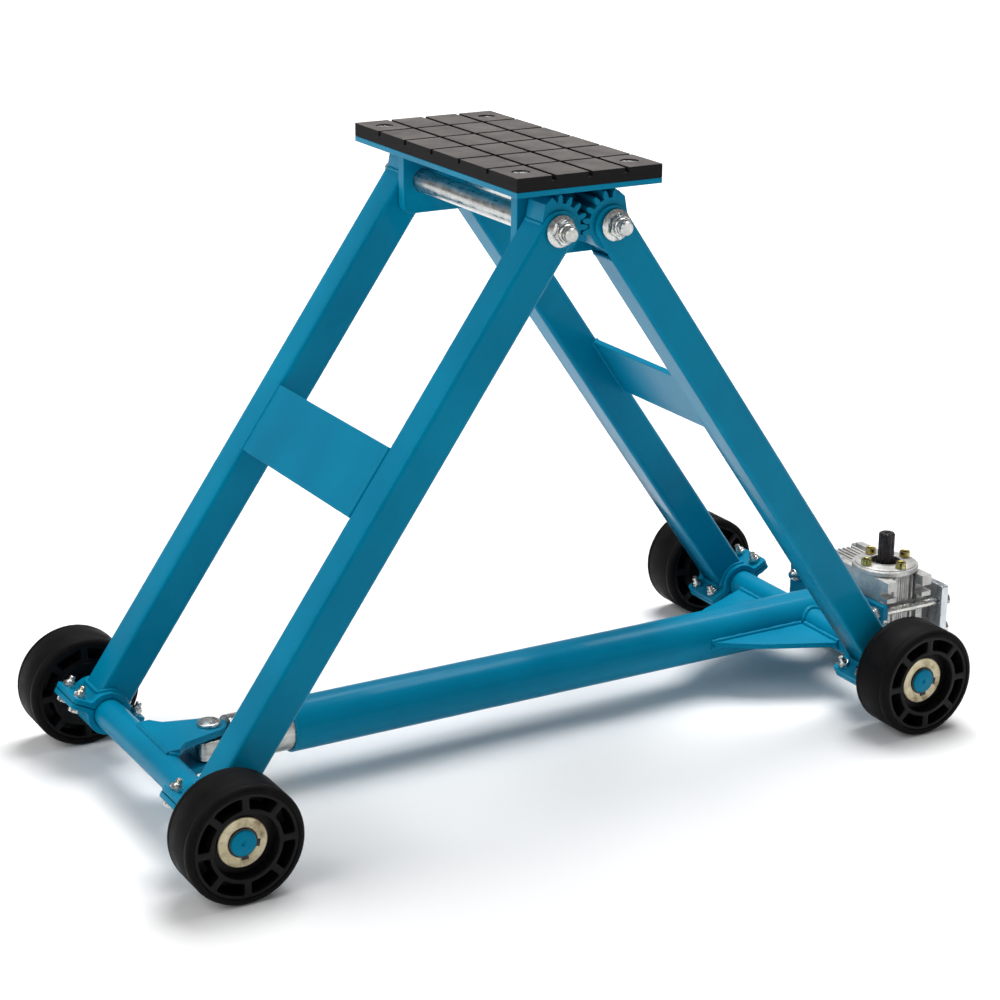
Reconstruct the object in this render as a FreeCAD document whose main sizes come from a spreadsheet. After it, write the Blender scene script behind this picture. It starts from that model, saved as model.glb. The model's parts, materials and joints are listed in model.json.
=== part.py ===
import FreeCAD, Part
import math
import os
import re
import Sketcher

# A screw-driven A-frame lift stand. Two leg frames of square tube hinge on two wheeled axles and
# mesh through gear sectors under a padded saddle. A lead screw inside a telescoping tube draws the
# axles together, so the saddle rises. Millimetres; +Z up; +X along the tube towards the gearbox.
# The origin is on the floor, under the middle of the whole stand.

# name: (number, what it measures)
DRIVING = {
    "wheel_diameter": (100, "wheel over its tyre"),
    "wheel_width": (44, "tyre width"),
    "wheel_inner": (149.7, "stand centre plane to a wheel's inner face"),
    "tyre_thickness": (6, "rubber on the wheel hub"),
    "stub_diameter": (22, "axle end that carries a wheel"),
    "stub_end": (187, "stand centre plane to the axle's end face"),
    "axle_diameter": (26.7, "cross axle"),
    "axle_shoulder": (149.2, "stand centre plane to the shoulder beside a wheel"),
    "running_gap": (0.3, "radial gap between a frame bearing and its axle"),
    "pin_gap": (0.05, "radial gap of a pin in its bore"),
    "leg_length": (535, "axle centre to hinge shaft centre"),
    "leg_angle": (55, "leg slope above the floor, degrees"),
    "leg_size": (33, "square leg tube"),
    "leg_wall": (3, "leg tube wall"),
    "leg_outer": (136, "stand centre plane to a leg's outer face"),
    "leg_shift": (1, "middle of a leg tube to the line from axle to hinge shaft"),
    "web_start": (215, "hinge shaft to the web plate's upper edge, along the leg"),
    "web_depth": (64.5, "web plate along the leg"),
    "web_thickness": (5, "web plate"),
    "gear_module": (3, "hinge gear sectors"),
    "gear_teeth": (17, "teeth that a full gear would have"),
    "gear_thickness": (26.6, "gear sector between the tube walls"),
    "neck_width": (26.6, "gear neck inside the leg tube"),
    "neck_length": (45, "hinge shaft to the end of the gear neck"),
    "shaft_diameter": (20, "saddle hinge shaft"),
    "shaft_shoulder": (137.5, "stand centre plane to the shaft's nut shoulder"),
    "shaft_end": (155.5, "stand centre plane to the threaded end"),
    "shaft_thread": (12, "threaded end of a hinge shaft"),
    "cheek_thickness": (10, "saddle cheek"),
    "cheek_outer": (102, "stand centre plane to a cheek's outer face"),
    "cheek_length": (90, "saddle cheek along the stand"),
    "cheek_drop": (28, "hinge shaft centre to the cheek's lower edge"),
    "cheek_rise": (30.25, "hinge shaft centre to the saddle plate's underside"),
    "plate_thickness": (4.5, "saddle plate"),
    "pad_length": (134.6, "rubber pad along the stand"),
    "pad_width": (280, "rubber pad across the stand"),
    "pad_thickness": (11.4, "rubber pad"),
    "pad_screw": (8, "screw through a corner of the pad"),
    "groove_width": (3.8, "groove between two tiles of the pad"),
    "groove_depth": (4.5, "groove between two tiles of the pad"),
    "shell_wall": (5.6, "bearing shell round the axle"),
    "shell_width": (46, "bearing shell along the axle"),
    "ear_reach": (35.5, "axle centre to the edge of a bearing ear"),
    "ear_thickness": (5, "bearing ear"),
    "ear_tilt": (27, "bearing split plane off level, degrees"),
    "ear_bolt_reach": (28, "axle centre to a clamp bolt"),
    "ear_bolt_spacing": (26, "two clamp bolts of one ear, along the axle"),
    "clamp_bolt": (6, "clamp bolt thread"),
    "outer_tube_diameter": (46, "lift tube, outside"),
    "outer_tube_bore": (41.6, "lift tube, inside"),
    "outer_tube_reach": (542, "drive axle to the open end of the lift tube"),
    "inner_tube_diameter": (41, "sliding tube, outside"),
    "inner_tube_bore": (34, "sliding tube, inside"),
    "inner_tube_start": (72, "slide axle to the sliding tube"),
    "inner_tube_gap": (26, "drive axle to the sliding tube's far end"),
    "clevis_pin_reach": (52, "slide axle to the clevis pin"),
    "clevis_pin_diameter": (16, "clevis pin"),
    "clevis_gap": (20, "between the clevis plates"),
    "clevis_thickness": (6.5, "one clevis plate"),
    "tongue_thickness": (17, "flat tongue in the clevis"),
    "tongue_width": (36, "flat tongue in the clevis"),
    "screw_diameter": (18, "lead screw"),
    "screw_journal": (14, "plain end of the lead screw, in its bearing and the worm wheel"),
    "screw_reach": (497, "drive axle to the screw's free end"),
    "gusset_thickness": (5, "gusset between lift tube and drive axle"),
    "mount_reach": (43, "drive axle to the gearbox mounting plate"),
    "mount_thickness": (7, "gearbox mounting plate"),
    "housing_length": (53, "gearbox housing"),
    "cover_length": (11, "round end cover between the housing and the clamp plate"),
    "clamp_thickness": (8, "outer clamp plate of the gearbox"),
    "worm_offset": (30, "worm axis to screw axis"),
    "long_bolt": (8, "long bolt through the gearbox plates"),
    "long_bolt_reach": (62, "stand centre plane to a long bolt"),
    "long_bolt_rise": (14, "tube centre to a long bolt, up or down"),
    "input_diameter": (15.4, "drive end of the input shaft"),
    "input_journal": (16, "input shaft inside the gearbox"),
    "input_shoulder": (108.5, "floor to the shoulder of the drive end"),
    "input_top": (130, "floor to the top of the input shaft"),
}

size = {name: number for name, (number, words) in DRIVING.items()}

# Sizes that follow from the driving ones.
PIN_SPACING = size["gear_module"] * size["gear_teeth"]
AXLE_Z = size["wheel_diameter"] / 2
LEG_SLOPE = math.radians(size["leg_angle"])
PIN_Z = AXLE_Z + size["leg_length"] * math.sin(LEG_SLOPE)
AXLE_SPAN = 2 * size["leg_length"] * math.cos(LEG_SLOPE) + PIN_SPACING
LONG_BOLT_HEAD = 5.3
HOUSING_START = size["mount_reach"] + size["mount_thickness"]
HOUSING_END = HOUSING_START + size["housing_length"]
CLAMP_END = HOUSING_END + size["cover_length"] + size["clamp_thickness"]
TOTAL_LENGTH = AXLE_Z + AXLE_SPAN + CLAMP_END + LONG_BOLT_HEAD
SLIDE_X = AXLE_Z - TOTAL_LENGTH / 2
DRIVE_X = SLIDE_X + AXLE_SPAN
SADDLE_X = (SLIDE_X + DRIVE_X) / 2
LEG_Y = size["leg_outer"] - size["leg_size"] / 2
PLATE_Z = PIN_Z + size["cheek_rise"]
PAD_Z = PLATE_Z + size["plate_thickness"]

# Each leg frame: its axle, which way is inwards, and which way it leans.
FRAMES = {
    "slide": {"x": SLIDE_X, "inward": 1},
    "drive": {"x": DRIVE_X, "inward": -1},
}
SIDES = {"front": -1, "rear": 1}

V = FreeCAD.Vector
Y_AXIS = V(0, 1, 0)
TURN = {
    "X": FreeCAD.Rotation(Y_AXIS, 90),
    "Y": FreeCAD.Rotation(V(1, 0, 0), -90),
    "Z": FreeCAD.Rotation(),
}

doc = FreeCAD.newDocument("LiftStand")
sheet = doc.addObject("Spreadsheet::Sheet", "Sizes")
for row, (name, (number, words)) in enumerate(DRIVING.items(), start=1):
    sheet.set(f"A{row}", str(number))
    sheet.set(f"B{row}", words)
    sheet.setAlias(f"A{row}", name)
doc.recompute()

nodes = []


# ---------------------------------------------------------------- helpers

def bind(thing, **formulas):
    """Binds properties to formulas written with the sheet's aliases."""
    for prop, formula in formulas.items():
        linked = re.sub(r"[a-z_]{4,}", lambda word: "Sizes." + word.group(0), str(formula))
        thing.setExpression(prop, linked)


def node(thing, name):
    """Names a finished piece and puts it on the list of files."""
    thing.Label = name
    nodes.append(thing)
    return thing


def free_name(stem):
    """Document names of helper objects count up."""
    return f"{stem}_{len(doc.Objects)}"


def place(thing, at, turn=None):
    thing.Placement = FreeCAD.Placement(V(*at), turn or FreeCAD.Rotation())
    return thing


def box(low, length, width, height):
    """Block from its low corner; sizes are formulas."""
    block = doc.addObject("Part::Box", free_name("block"))
    bind(block, Length=length, Width=width, Height=height)
    return place(block, low)


def rod(start, axis, radius, height):
    """Cylinder from the centre of its first face; radius and height are formulas."""
    cylinder = doc.addObject("Part::Cylinder", free_name("rod"))
    bind(cylinder, Radius=radius, Height=height)
    return place(cylinder, start, TURN[axis])


def hexagon(start, axis, across_flats, height):
    prism = doc.addObject("Part::Prism", free_name("hexagon"))
    prism.Polygon = 6
    bind(prism, Circumradius=f"{across_flats} / 1.7320508", Height=height)
    return place(prism, start, TURN[axis])


def fuse(*parts):
    union = doc.addObject("Part::MultiFuse", free_name("union"))
    union.Shapes = list(parts)
    return union


def cut(base, *tools):
    difference = doc.addObject("Part::Cut", free_name("cut"))
    difference.Base = base
    difference.Tool = tools[0] if len(tools) == 1 else fuse(*tools)
    return difference


def group(name, parts):
    """Separate solids that share one node."""
    compound = doc.addObject("Part::Compound", free_name("group"))
    compound.Links = list(parts)
    return node(compound, name)


def line(start, end):
    return Part.LineSegment(V(*start, 0), V(*end, 0))


def circle(radius, x=0, y=0):
    return Part.Circle(V(x, y, 0), V(0, 0, 1), radius)


def arc(radius, first, last, x=0, y=0):
    """Counterclockwise arc between two angles in degrees."""
    return Part.ArcOfCircle(circle(radius, x, y), math.radians(first), math.radians(last))


def outline(*corners):
    """Closed outline; a corner (x, y, radius) is rounded."""
    starts = []
    ends = []
    rounds = []
    for index, corner in enumerate(corners):
        here = V(corner[0], corner[1], 0)
        before = V(*corners[index - 1][:2], 0)
        after = V(*corners[(index + 1) % len(corners)][:2], 0)
        to_before = (before - here).normalize()
        to_after = (after - here).normalize()
        if len(corner) == 2:
            ends.append(here)
            starts.append(here)
            continue
        half = to_before.getAngle(to_after) / 2
        reach = corner[2] / math.tan(half)
        bisector = (to_before + to_after).normalize()
        middle = here + bisector * (corner[2] / math.sin(half) - corner[2])
        ends.append(here + to_before * reach)
        starts.append(here + to_after * reach)
        rounds.append(Part.Arc(ends[-1], middle, starts[-1]))
    sides = [Part.LineSegment(starts[i], ends[(i + 1) % len(ends)]) for i in range(len(starts))]
    return sides + rounds


def rectangle(x_low, x_high, y_low, y_high, radius=0):
    corners = [(x_low, y_low), (x_high, y_low), (x_high, y_high), (x_low, y_high)]
    if radius:
        corners = [(x, y, radius) for x, y in corners]
    return outline(*corners)


def new_body(stem):
    return doc.addObject("PartDesign::Body", free_name(stem))


def sketch(body, role, edges):
    plane = next(f for f in body.Origin.OriginFeatures if f.Role == role)
    drawing = body.newObject("Sketcher::SketchObject", free_name("sketch"))
    drawing.AttachmentSupport = [(plane, "")]
    drawing.MapMode = "FlatFace"
    for edge in edges:
        drawing.addGeometry(edge)
    for index in range(len(edges)):
        drawing.addConstraint(Sketcher.Constraint("Block", index))
    return drawing


def pad(body, role, edges, length, middle=True):
    """Pads a profile by a formula, both ways from the plane unless middle is off."""
    feature = body.newObject("PartDesign::Pad", free_name("pad"))
    feature.Profile = sketch(body, role, edges)
    feature.Midplane = middle
    bind(feature, Length=length)
    return feature


def pocket(body, role, edges, length=None, offset=0):
    """Cuts a profile both ways from its plane, right through unless a formula is given."""
    drawing = sketch(body, role, edges)
    drawing.AttachmentOffset = FreeCAD.Placement(V(0, 0, offset), FreeCAD.Rotation())
    feature = body.newObject("PartDesign::Pocket", free_name("pocket"))
    feature.Profile = drawing
    feature.Midplane = True
    if length is None:
        feature.Type = "ThroughAll"
    else:
        feature.Type = "Length"
        bind(feature, Length=length)
    return feature


def turned(stem, profile):
    """Body turned about the Y axis; the profile's x is the radius and its y lies along the axis."""
    body = new_body(stem)
    drawing = sketch(body, "XY_Plane", profile)
    feature = body.newObject("PartDesign::Revolution", free_name("turned"))
    feature.Profile = drawing
    feature.ReferenceAxis = (drawing, ["V_Axis"])
    feature.Angle = 360
    return body


# ---------------------------------------------------------------- wheels and axles

HUB_FACE = 182.5
WASHER_THICKNESS = 1.9
CIRCLIP_Y = HUB_FACE + WASHER_THICKNESS + 0.2
CIRCLIP_THICKNESS = 1.2
HUB_RECESS = 27.5
INNER_BOSS = 29
HUB_POCKETS = 8
POCKET_INNER = 31
POCKET_OUTER = 41
RIB_WIDTH = 6
# A pocket is cut to both sides of its face, so its depth is half of its span.
OUTER_POCKET_SPAN = 36
INNER_POCKET_SPAN = 30


def pocket_sector(index):
    """One ring sector between two ribs of the hub, ribs of even width."""
    step = 360 / HUB_POCKETS
    start = index * step
    inner_rib = math.degrees(math.asin(RIB_WIDTH / 2 / POCKET_INNER))
    outer_rib = math.degrees(math.asin(RIB_WIDTH / 2 / POCKET_OUTER))
    inner = arc(POCKET_INNER, start + inner_rib, start + step - inner_rib)
    outer = arc(POCKET_OUTER, start + outer_rib, start + step - outer_rib)
    sides = [Part.LineSegment(inner.StartPoint, outer.StartPoint),
             Part.LineSegment(inner.EndPoint, outer.EndPoint)]
    return [inner, outer] + sides


def wheel(frame, side):
    """Hub with eight pockets on each face, and the tyre round it."""
    out = SIDES[side]
    near = size["wheel_inner"]
    far = near + size["wheel_width"]
    bore = size["stub_diameter"] / 2 + size["pin_gap"]
    rim = size["wheel_diameter"] / 2 - size["tyre_thickness"]
    # The outer face is flush with the tyre and has a round recess for the washer and the circlip.
    inner_face = near + 1
    outer_face = far - 1
    profile = [(bore, near + 0.2), (INNER_BOSS, near + 0.2), (INNER_BOSS, inner_face),
               (rim, inner_face), (rim, outer_face), (HUB_RECESS, outer_face),
               (HUB_RECESS, HUB_FACE), (bore, HUB_FACE)]
    hub = turned("hub", outline(*[(r, out * y) for r, y in profile]))
    sectors = [edge for index in range(HUB_POCKETS) for edge in pocket_sector(index)]
    pocket(hub, "XZ_Plane", sectors, OUTER_POCKET_SPAN, offset=-out * outer_face)
    pocket(hub, "XZ_Plane", sectors, INNER_POCKET_SPAN, offset=-out * inner_face)
    shoulder = 5
    seat = rim + size["pin_gap"]
    tread = size["wheel_diameter"] / 2
    tyre = turned("tyre", outline((seat, out * near), (tread, out * near, shoulder),
                                  (tread, out * far, shoulder), (seat, out * far)))
    centre = (FRAMES[frame]["x"], 0, AXLE_Z)
    node(place(hub, centre), f"{frame}_wheel_hub_{side}")
    node(place(tyre, centre), f"{frame}_tyre_{side}")


def axle_bar(frame):
    """Cross axle with a stub at each end and a circlip groove in each stub."""
    thick = size["axle_diameter"] / 2
    thin = size["stub_diameter"] / 2
    groove = thin - 0.9
    shoulder = size["axle_shoulder"]
    end = size["stub_end"]
    groove_far = CIRCLIP_Y + CIRCLIP_THICKNESS + 0.1
    half = [(thick, shoulder), (thin, shoulder), (thin, CIRCLIP_Y - 0.1), (groove, CIRCLIP_Y - 0.1),
            (groove, groove_far), (thin, groove_far), (thin, end - 1), (thin - 1, end), (0, end)]
    mirrored = [(radius, -y) for radius, y in reversed(half)]
    bar = turned("axle", outline(*mirrored, *half))
    return place(bar, (FRAMES[frame]["x"], 0, AXLE_Z))


def axle_rings(frame):
    """Washers and circlips outside the two wheels of one axle."""
    stub = size["stub_diameter"] / 2
    washers = []
    circlips = []
    for out in SIDES.values():
        near = out * (HUB_FACE + 0.1)
        ring = outline((stub + 1.25, near), (21, near), (21, near + out * WASHER_THICKNESS),
                       (stub + 1.25, near + out * WASHER_THICKNESS))
        washers.append(place(turned("washer", ring), (FRAMES[frame]["x"], 0, AXLE_Z)))
        clip = new_body("circlip")
        # An open ring whose two lugs stand beside the gap.
        gap = 24
        inner = stub - 0.8
        outer = stub + 1.2
        lug = stub + 3.6
        edges = [arc(inner, gap, 360 - gap), arc(outer, 2 * gap, 360 - 2 * gap)]
        for turn in (1, -1):
            near_in = V(inner * math.cos(turn * math.radians(gap)),
                        inner * math.sin(turn * math.radians(gap)), 0)
            near_out = near_in * (lug / inner)
            far_in = V(outer * math.cos(turn * math.radians(2 * gap)),
                       outer * math.sin(turn * math.radians(2 * gap)), 0)
            far_out = far_in * (lug / outer)
            edges += [Part.LineSegment(near_in, near_out), Part.LineSegment(near_out, far_out),
                      Part.LineSegment(far_out, far_in)]
        pad(clip, "XZ_Plane", edges, CIRCLIP_THICKNESS)
        lug_turn = FreeCAD.Rotation(Y_AXIS, 48)
        middle = out * (CIRCLIP_Y + CIRCLIP_THICKNESS / 2)
        circlips.append(place(clip, (FRAMES[frame]["x"], middle, AXLE_Z), lug_turn))
    group(f"{frame}_axle_washers", washers)
    group(f"{frame}_axle_circlips", circlips)


# ---------------------------------------------------------------- leg frames

def lean(frame, degrees):
    """Rotation that tips local +Z towards the inside of the stand."""
    return FreeCAD.Rotation(Y_AXIS, FRAMES[frame]["inward"] * degrees)


def leg_place(frame, thing, y=0):
    """Local origin at the axle, local +Z up the leg."""
    return place(thing, (FRAMES[frame]["x"], y, AXLE_Z), lean(frame, 90 - size["leg_angle"]))


def shell_radius():
    return size["axle_diameter"] / 2 + size["running_gap"] + size["shell_wall"]


def leg_tube(frame, side):
    """Square tube: rounded cheeks at the hinge shaft, open between them for the gear sector."""
    inward = FRAMES[frame]["inward"]
    half = size["leg_size"] / 2
    inside = half - size["leg_wall"]
    top = size["leg_length"]
    above = top + 2 * half
    shift = inward * size["leg_shift"]
    tube = new_body("leg")
    pad(tube, "XY_Plane", rectangle(shift - half, shift + half, -half, half, 4)
        + rectangle(shift - inside, shift + inside, -inside, inside),
        "leg_length + leg_size / 2", middle=False)
    round_end = [arc(half, 0, 180, x=shift, y=top), line((shift - half, top), (-2 * half, top)),
                 line((-2 * half, top), (-2 * half, above)),
                 line((-2 * half, above), (2 * half, above)),
                 line((2 * half, above), (2 * half, top)), line((2 * half, top), (shift + half, top))]
    pocket(tube, "XZ_Plane", round_end)
    outer_wall = sorted((shift - inward * inside, -inward * 2 * half))
    inner_wall = sorted((shift + inward * inside, inward * 2 * half))
    open_span = "leg_size - 2 * leg_wall"
    pocket(tube, "XZ_Plane", rectangle(*outer_wall, top - 3, above), open_span)
    pocket(tube, "XZ_Plane", rectangle(*inner_wall, top - 24, above), open_span)
    pocket(tube, "XZ_Plane", [circle(size["shaft_diameter"] / 2 + size["running_gap"], y=top)])
    pocket(tube, "XZ_Plane", [circle(shell_radius(), y=0)])
    node(leg_place(frame, tube, SIDES[side] * LEG_Y), f"{frame}_leg_{side}")


def tooth_flank(radius):
    """Half the angle that a tooth spans at a radius, for involute flanks of 20 degrees."""
    pitch = size["gear_module"] * size["gear_teeth"] / 2
    base = pitch * math.cos(math.radians(20))
    backlash = 0.4
    at_pitch = (math.pi * size["gear_module"] / 2 - backlash) / 2 / pitch
    slant = math.acos(min(1, base / radius))
    at_twenty = math.tan(math.radians(20)) - math.radians(20)
    return at_pitch + at_twenty - (math.tan(slant) - slant)


def gear_profile(inward, phase):
    """Toothed head over a square neck, about the hinge shaft; teeth face the other leg."""
    module = size["gear_module"]
    pitch = module * size["gear_teeth"] / 2
    base = pitch * math.cos(math.radians(20))
    root = pitch - 1.25 * module
    tip = pitch + 0.9 * module
    step = 2 * math.pi / size["gear_teeth"]
    to_local = math.radians(90 - size["leg_angle"])
    neck_low = size["leg_shift"] - size["neck_width"] / 2
    neck_high = size["leg_shift"] + size["neck_width"] / 2
    points = [(neck_low, -size["neck_length"]), (neck_high, -size["neck_length"])]
    points.append((neck_high, -math.sqrt(root ** 2 - neck_high ** 2)))
    for turn in (-35, -20, -8):
        points.append((root * math.cos(math.radians(turn)), root * math.sin(math.radians(turn))))
    for index in range(-1, 5):
        centre = (index + phase) * step + to_local
        radii = [root, base, pitch, (pitch + tip) / 2, tip]
        for radius in radii:
            angle = centre - tooth_flank(max(radius, base))
            points.append((radius * math.cos(angle), radius * math.sin(angle)))
        for radius in reversed(radii):
            angle = centre + tooth_flank(max(radius, base))
            points.append((radius * math.cos(angle), radius * math.sin(angle)))
    land_start = math.radians(136)
    land_end = math.radians(153)
    points.append(((tip - 1) * math.cos(land_start), (tip - 1) * math.sin(land_start)))
    points.append(((root + 2.6) * math.cos(land_end), (root + 2.6) * math.sin(land_end)))
    points.append((size["leg_shift"] - size["leg_size"] / 2, -2.5))
    points.append((neck_low, -2.5))
    return [(inward * x, size["leg_length"] + y) for x, y in points]


def gear_sector(frame, side):
    """Gear sector whose neck is welded into the leg tube."""
    phase = 0 if frame == "slide" else 0.5
    gear = new_body("gear")
    pad(gear, "XZ_Plane", outline(*gear_profile(FRAMES[frame]["inward"], phase)), "gear_thickness")
    bore = size["shaft_diameter"] / 2 + size["pin_gap"]
    pocket(gear, "XZ_Plane", [circle(bore, y=size["leg_length"])])
    node(leg_place(frame, gear, SIDES[side] * LEG_Y), f"{frame}_gear_{side}")


def web_plate(frame):
    """Plate across the leg frame, flush with the legs' outer faces."""
    half = size["leg_size"] / 2
    inner_face = size["leg_outer"] - size["leg_size"]
    end = size["leg_length"] - size["web_start"]
    start = end - size["web_depth"]
    edges = rectangle(-inner_face, inner_face, start, end)
    web = new_body("web")
    pad(web, "YZ_Plane", edges, "web_thickness")
    shift = FRAMES[frame]["inward"] * (size["leg_shift"] - half + size["web_thickness"] / 2)
    turn = lean(frame, 90 - size["leg_angle"])
    across = turn.multVec(V(shift, 0, 0))
    place(web, (FRAMES[frame]["x"] + across.x, 0, AXLE_Z + across.z), turn)
    node(web, f"{frame}_leg_web")


def bearing_half(frame, side, up):
    """Half of a split bearing: up is 1 for the shell under the leg and -1 for the cap."""
    bore = size["axle_diameter"] / 2 + size["running_gap"]
    outer = shell_radius()
    reach = size["ear_reach"]
    thick = size["ear_thickness"]
    split = 0.3
    rise = math.degrees(math.asin(thick / outer))
    low = math.degrees(math.asin(split / bore))
    edge = outer * math.cos(math.radians(rise))
    inner_edge = bore * math.cos(math.radians(low))
    if up > 0:
        arcs = [arc(outer, rise, 180 - rise), arc(bore, low, 180 - low)]
    else:
        arcs = [arc(outer, 180 + rise, 360 - rise), arc(bore, 180 + low, 360 - low)]
    lines = []
    for out in (1, -1):
        lines += [line((out * inner_edge, up * split), (out * reach, up * split)),
                  line((out * reach, up * split), (out * reach, up * thick)),
                  line((out * reach, up * thick), (out * edge, up * thick))]
    half = new_body("bearing_half")
    pad(half, "XZ_Plane", arcs + lines, "shell_width")
    holes = []
    for x in (-size["ear_bolt_reach"], size["ear_bolt_reach"]):
        for y in (-size["ear_bolt_spacing"] / 2, size["ear_bolt_spacing"] / 2):
            holes.append(circle(size["clamp_bolt"] / 2 + 0.3, x, y))
    pocket(half, "XY_Plane", holes)
    return place(half, (FRAMES[frame]["x"], SIDES[side] * LEG_Y, AXLE_Z),
                 lean(frame, size["ear_tilt"]))


def clamp_fasteners(frame):
    """Eight bolts with nuts, four round each bearing."""
    turn = lean(frame, size["ear_tilt"])
    thick = size["ear_thickness"]
    flats = 10
    head = 4
    nut_height = 5
    past_nut = 5
    bolts = []
    nuts = []

    def stand(thing, x, y, z):
        spot = turn.multVec(V(x, y, z)) + V(FRAMES[frame]["x"], 0, AXLE_Z)
        return place(thing, tuple(spot), turn)

    for out in SIDES.values():
        for x in (-size["ear_bolt_reach"], size["ear_bolt_reach"]):
            for step in (-0.5, 0.5):
                y = out * LEG_Y + step * size["ear_bolt_spacing"]
                bolt_head = stand(hexagon((0, 0, 0), "Z", flats, head), x, y, -thick - head)
                shank = stand(rod((0, 0, 0), "Z", "clamp_bolt / 2 - pin_gap",
                                  2 * thick + nut_height + past_nut), x, y, -thick)
                bolts.append(fuse(bolt_head, shank))
                blank = stand(hexagon((0, 0, 0), "Z", flats, nut_height), x, y, thick)
                thread = stand(rod((0, 0, 0), "Z", "clamp_bolt / 2 + pin_gap", nut_height),
                               x, y, thick)
                nuts.append(cut(blank, thread))
    group(f"{frame}_clamp_bolts", bolts)
    group(f"{frame}_clamp_nuts", nuts)


# ---------------------------------------------------------------- saddle

def saddle():
    """Plate on two cheeks, the grooved pad with its screws, and the two hinge shafts."""
    cheek_middle = size["cheek_outer"] - size["cheek_thickness"] / 2
    half = size["cheek_length"] / 2
    for side, out in SIDES.items():
        cheek = new_body("cheek")
        pad(cheek, "XZ_Plane", outline((-half, -size["cheek_drop"], 9), (half, -size["cheek_drop"], 9),
                                       (half, size["cheek_rise"]), (-half, size["cheek_rise"])),
            "cheek_thickness")
        bore = size["shaft_diameter"] / 2 + size["pin_gap"]
        pocket(cheek, "XZ_Plane", [circle(bore, x=-PIN_SPACING / 2), circle(bore, x=PIN_SPACING / 2)])
        place(cheek, (SADDLE_X, out * cheek_middle, PIN_Z))
        node(cheek, f"saddle_cheek_{side}")

    columns = 4
    rows = 6
    tile_x = size["pad_length"] / columns
    tile_y = size["pad_width"] / rows
    corner_x = size["pad_length"] / 2 - tile_x / 2
    corner_y = size["pad_width"] / 2 - tile_y / 2
    corners = [(SADDLE_X + a * corner_x, b * corner_y) for a in (-1, 1) for b in (-1, 1)]
    low = (SADDLE_X - size["pad_length"] / 2, -size["pad_width"] / 2)
    hole = "pad_screw / 2 + running_gap"

    plate = box((*low, PLATE_Z), "pad_length", "pad_width", "plate_thickness")
    holes = [rod((x, y, PLATE_Z), "Z", hole, "plate_thickness") for x, y in corners]
    node(cut(plate, *holes), "saddle_plate")

    rubber = box((*low, PAD_Z), "pad_length", "pad_width", "pad_thickness")
    groove_z = PAD_Z + size["pad_thickness"] - size["groove_depth"]
    tools = []
    for index in range(1, columns):
        x = low[0] + index * tile_x - size["groove_width"] / 2
        tools.append(box((x, low[1], groove_z), "groove_width", "pad_width", "groove_depth"))
    for index in range(1, rows):
        y = low[1] + index * tile_y - size["groove_width"] / 2
        tools.append(box((low[0], y, groove_z), "pad_length", "groove_width", "groove_depth"))
    sink_depth = 4.4
    sink_radius = 7.5
    sink_z = PAD_Z + size["pad_thickness"] - sink_depth
    for x, y in corners:
        tools.append(rod((x, y, PAD_Z), "Z", hole, "pad_thickness"))
        tools.append(rod((x, y, sink_z), "Z", sink_radius, sink_depth))
    node(cut(rubber, *tools), "rubber_pad")

    head_height = 3.4
    socket_depth = 2
    screws = []
    for x, y in corners:
        shank = rod((x, y, PLATE_Z), "Z", "pad_screw / 2", sink_z - PLATE_Z)
        head = rod((x, y, sink_z), "Z", sink_radius - 0.6, head_height)
        socket = hexagon((x, y, sink_z + head_height - socket_depth), "Z", 5, socket_depth)
        screws.append(cut(fuse(shank, head), socket))
    group("pad_screws", screws)

    hinge_shafts()


def hinge_shafts():
    """The two shafts under the saddle, with a flange nut on each end."""
    nut_height = 12
    flange_thick = 3
    nuts = []
    for frame in FRAMES:
        x = SADDLE_X - FRAMES[frame]["inward"] * PIN_SPACING / 2
        shoulder = size["shaft_shoulder"]
        end = size["shaft_end"]
        middle = rod((x, -shoulder, PIN_Z), "Y", "shaft_diameter / 2", "2 * shaft_shoulder")
        thread = rod((x, -end, PIN_Z), "Y", "shaft_thread / 2 - pin_gap", "2 * shaft_end")
        node(fuse(middle, thread), f"{frame}_hinge_shaft")
        for out in SIDES.values():
            seat = out * (shoulder + 0.1)
            low = min(seat, seat + out * nut_height)
            flange_low = min(seat, seat + out * flange_thick)
            flange = rod((x, flange_low, PIN_Z), "Y", 13, flange_thick)
            flats = hexagon((x, low, PIN_Z), "Y", 18, nut_height)
            bore = rod((x, low, PIN_Z), "Y", "shaft_thread / 2 + pin_gap", nut_height)
            nuts.append(cut(fuse(flange, flats), bore))
    group("hinge_nuts", nuts)


# ---------------------------------------------------------------- lift tube and screw

def base_frame():
    """Lift tube with the drive axle, gussets and gearbox plate that are welded to it."""
    left = DRIVE_X - size["outer_tube_reach"]
    tube_length = "outer_tube_reach + mount_reach"
    skin = rod((left, 0, AXLE_Z), "X", "outer_tube_diameter / 2", tube_length)
    bore = rod((left, 0, AXLE_Z), "X", "outer_tube_bore / 2", tube_length)
    node(cut(skin, bore), "outer_tube")

    around = rod((left, 0, AXLE_Z), "X", "outer_tube_diameter / 2", tube_length)
    node(cut(axle_bar("drive"), around), "drive_axle")

    gussets = []
    for out in SIDES.values():
        web = new_body("gusset")
        start = out * size["outer_tube_diameter"] / 4
        pad(web, "XY_Plane", outline((-118, start), (-118, out * 22.5), (-77, out * 51),
                                     (-16, out * 79), (-4, out * 79), (-4, start)),
            "gusset_thickness")
        place(web, (DRIVE_X, 0, AXLE_Z))
        cross = rod((DRIVE_X, -size["axle_shoulder"], AXLE_Z), "Y", "axle_diameter / 2",
                    "2 * axle_shoulder")
        along = rod((left, 0, AXLE_Z), "X", "outer_tube_diameter / 2", tube_length)
        gussets.append(cut(web, cross, along))
    group("drive_axle_gussets", gussets)


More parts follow.
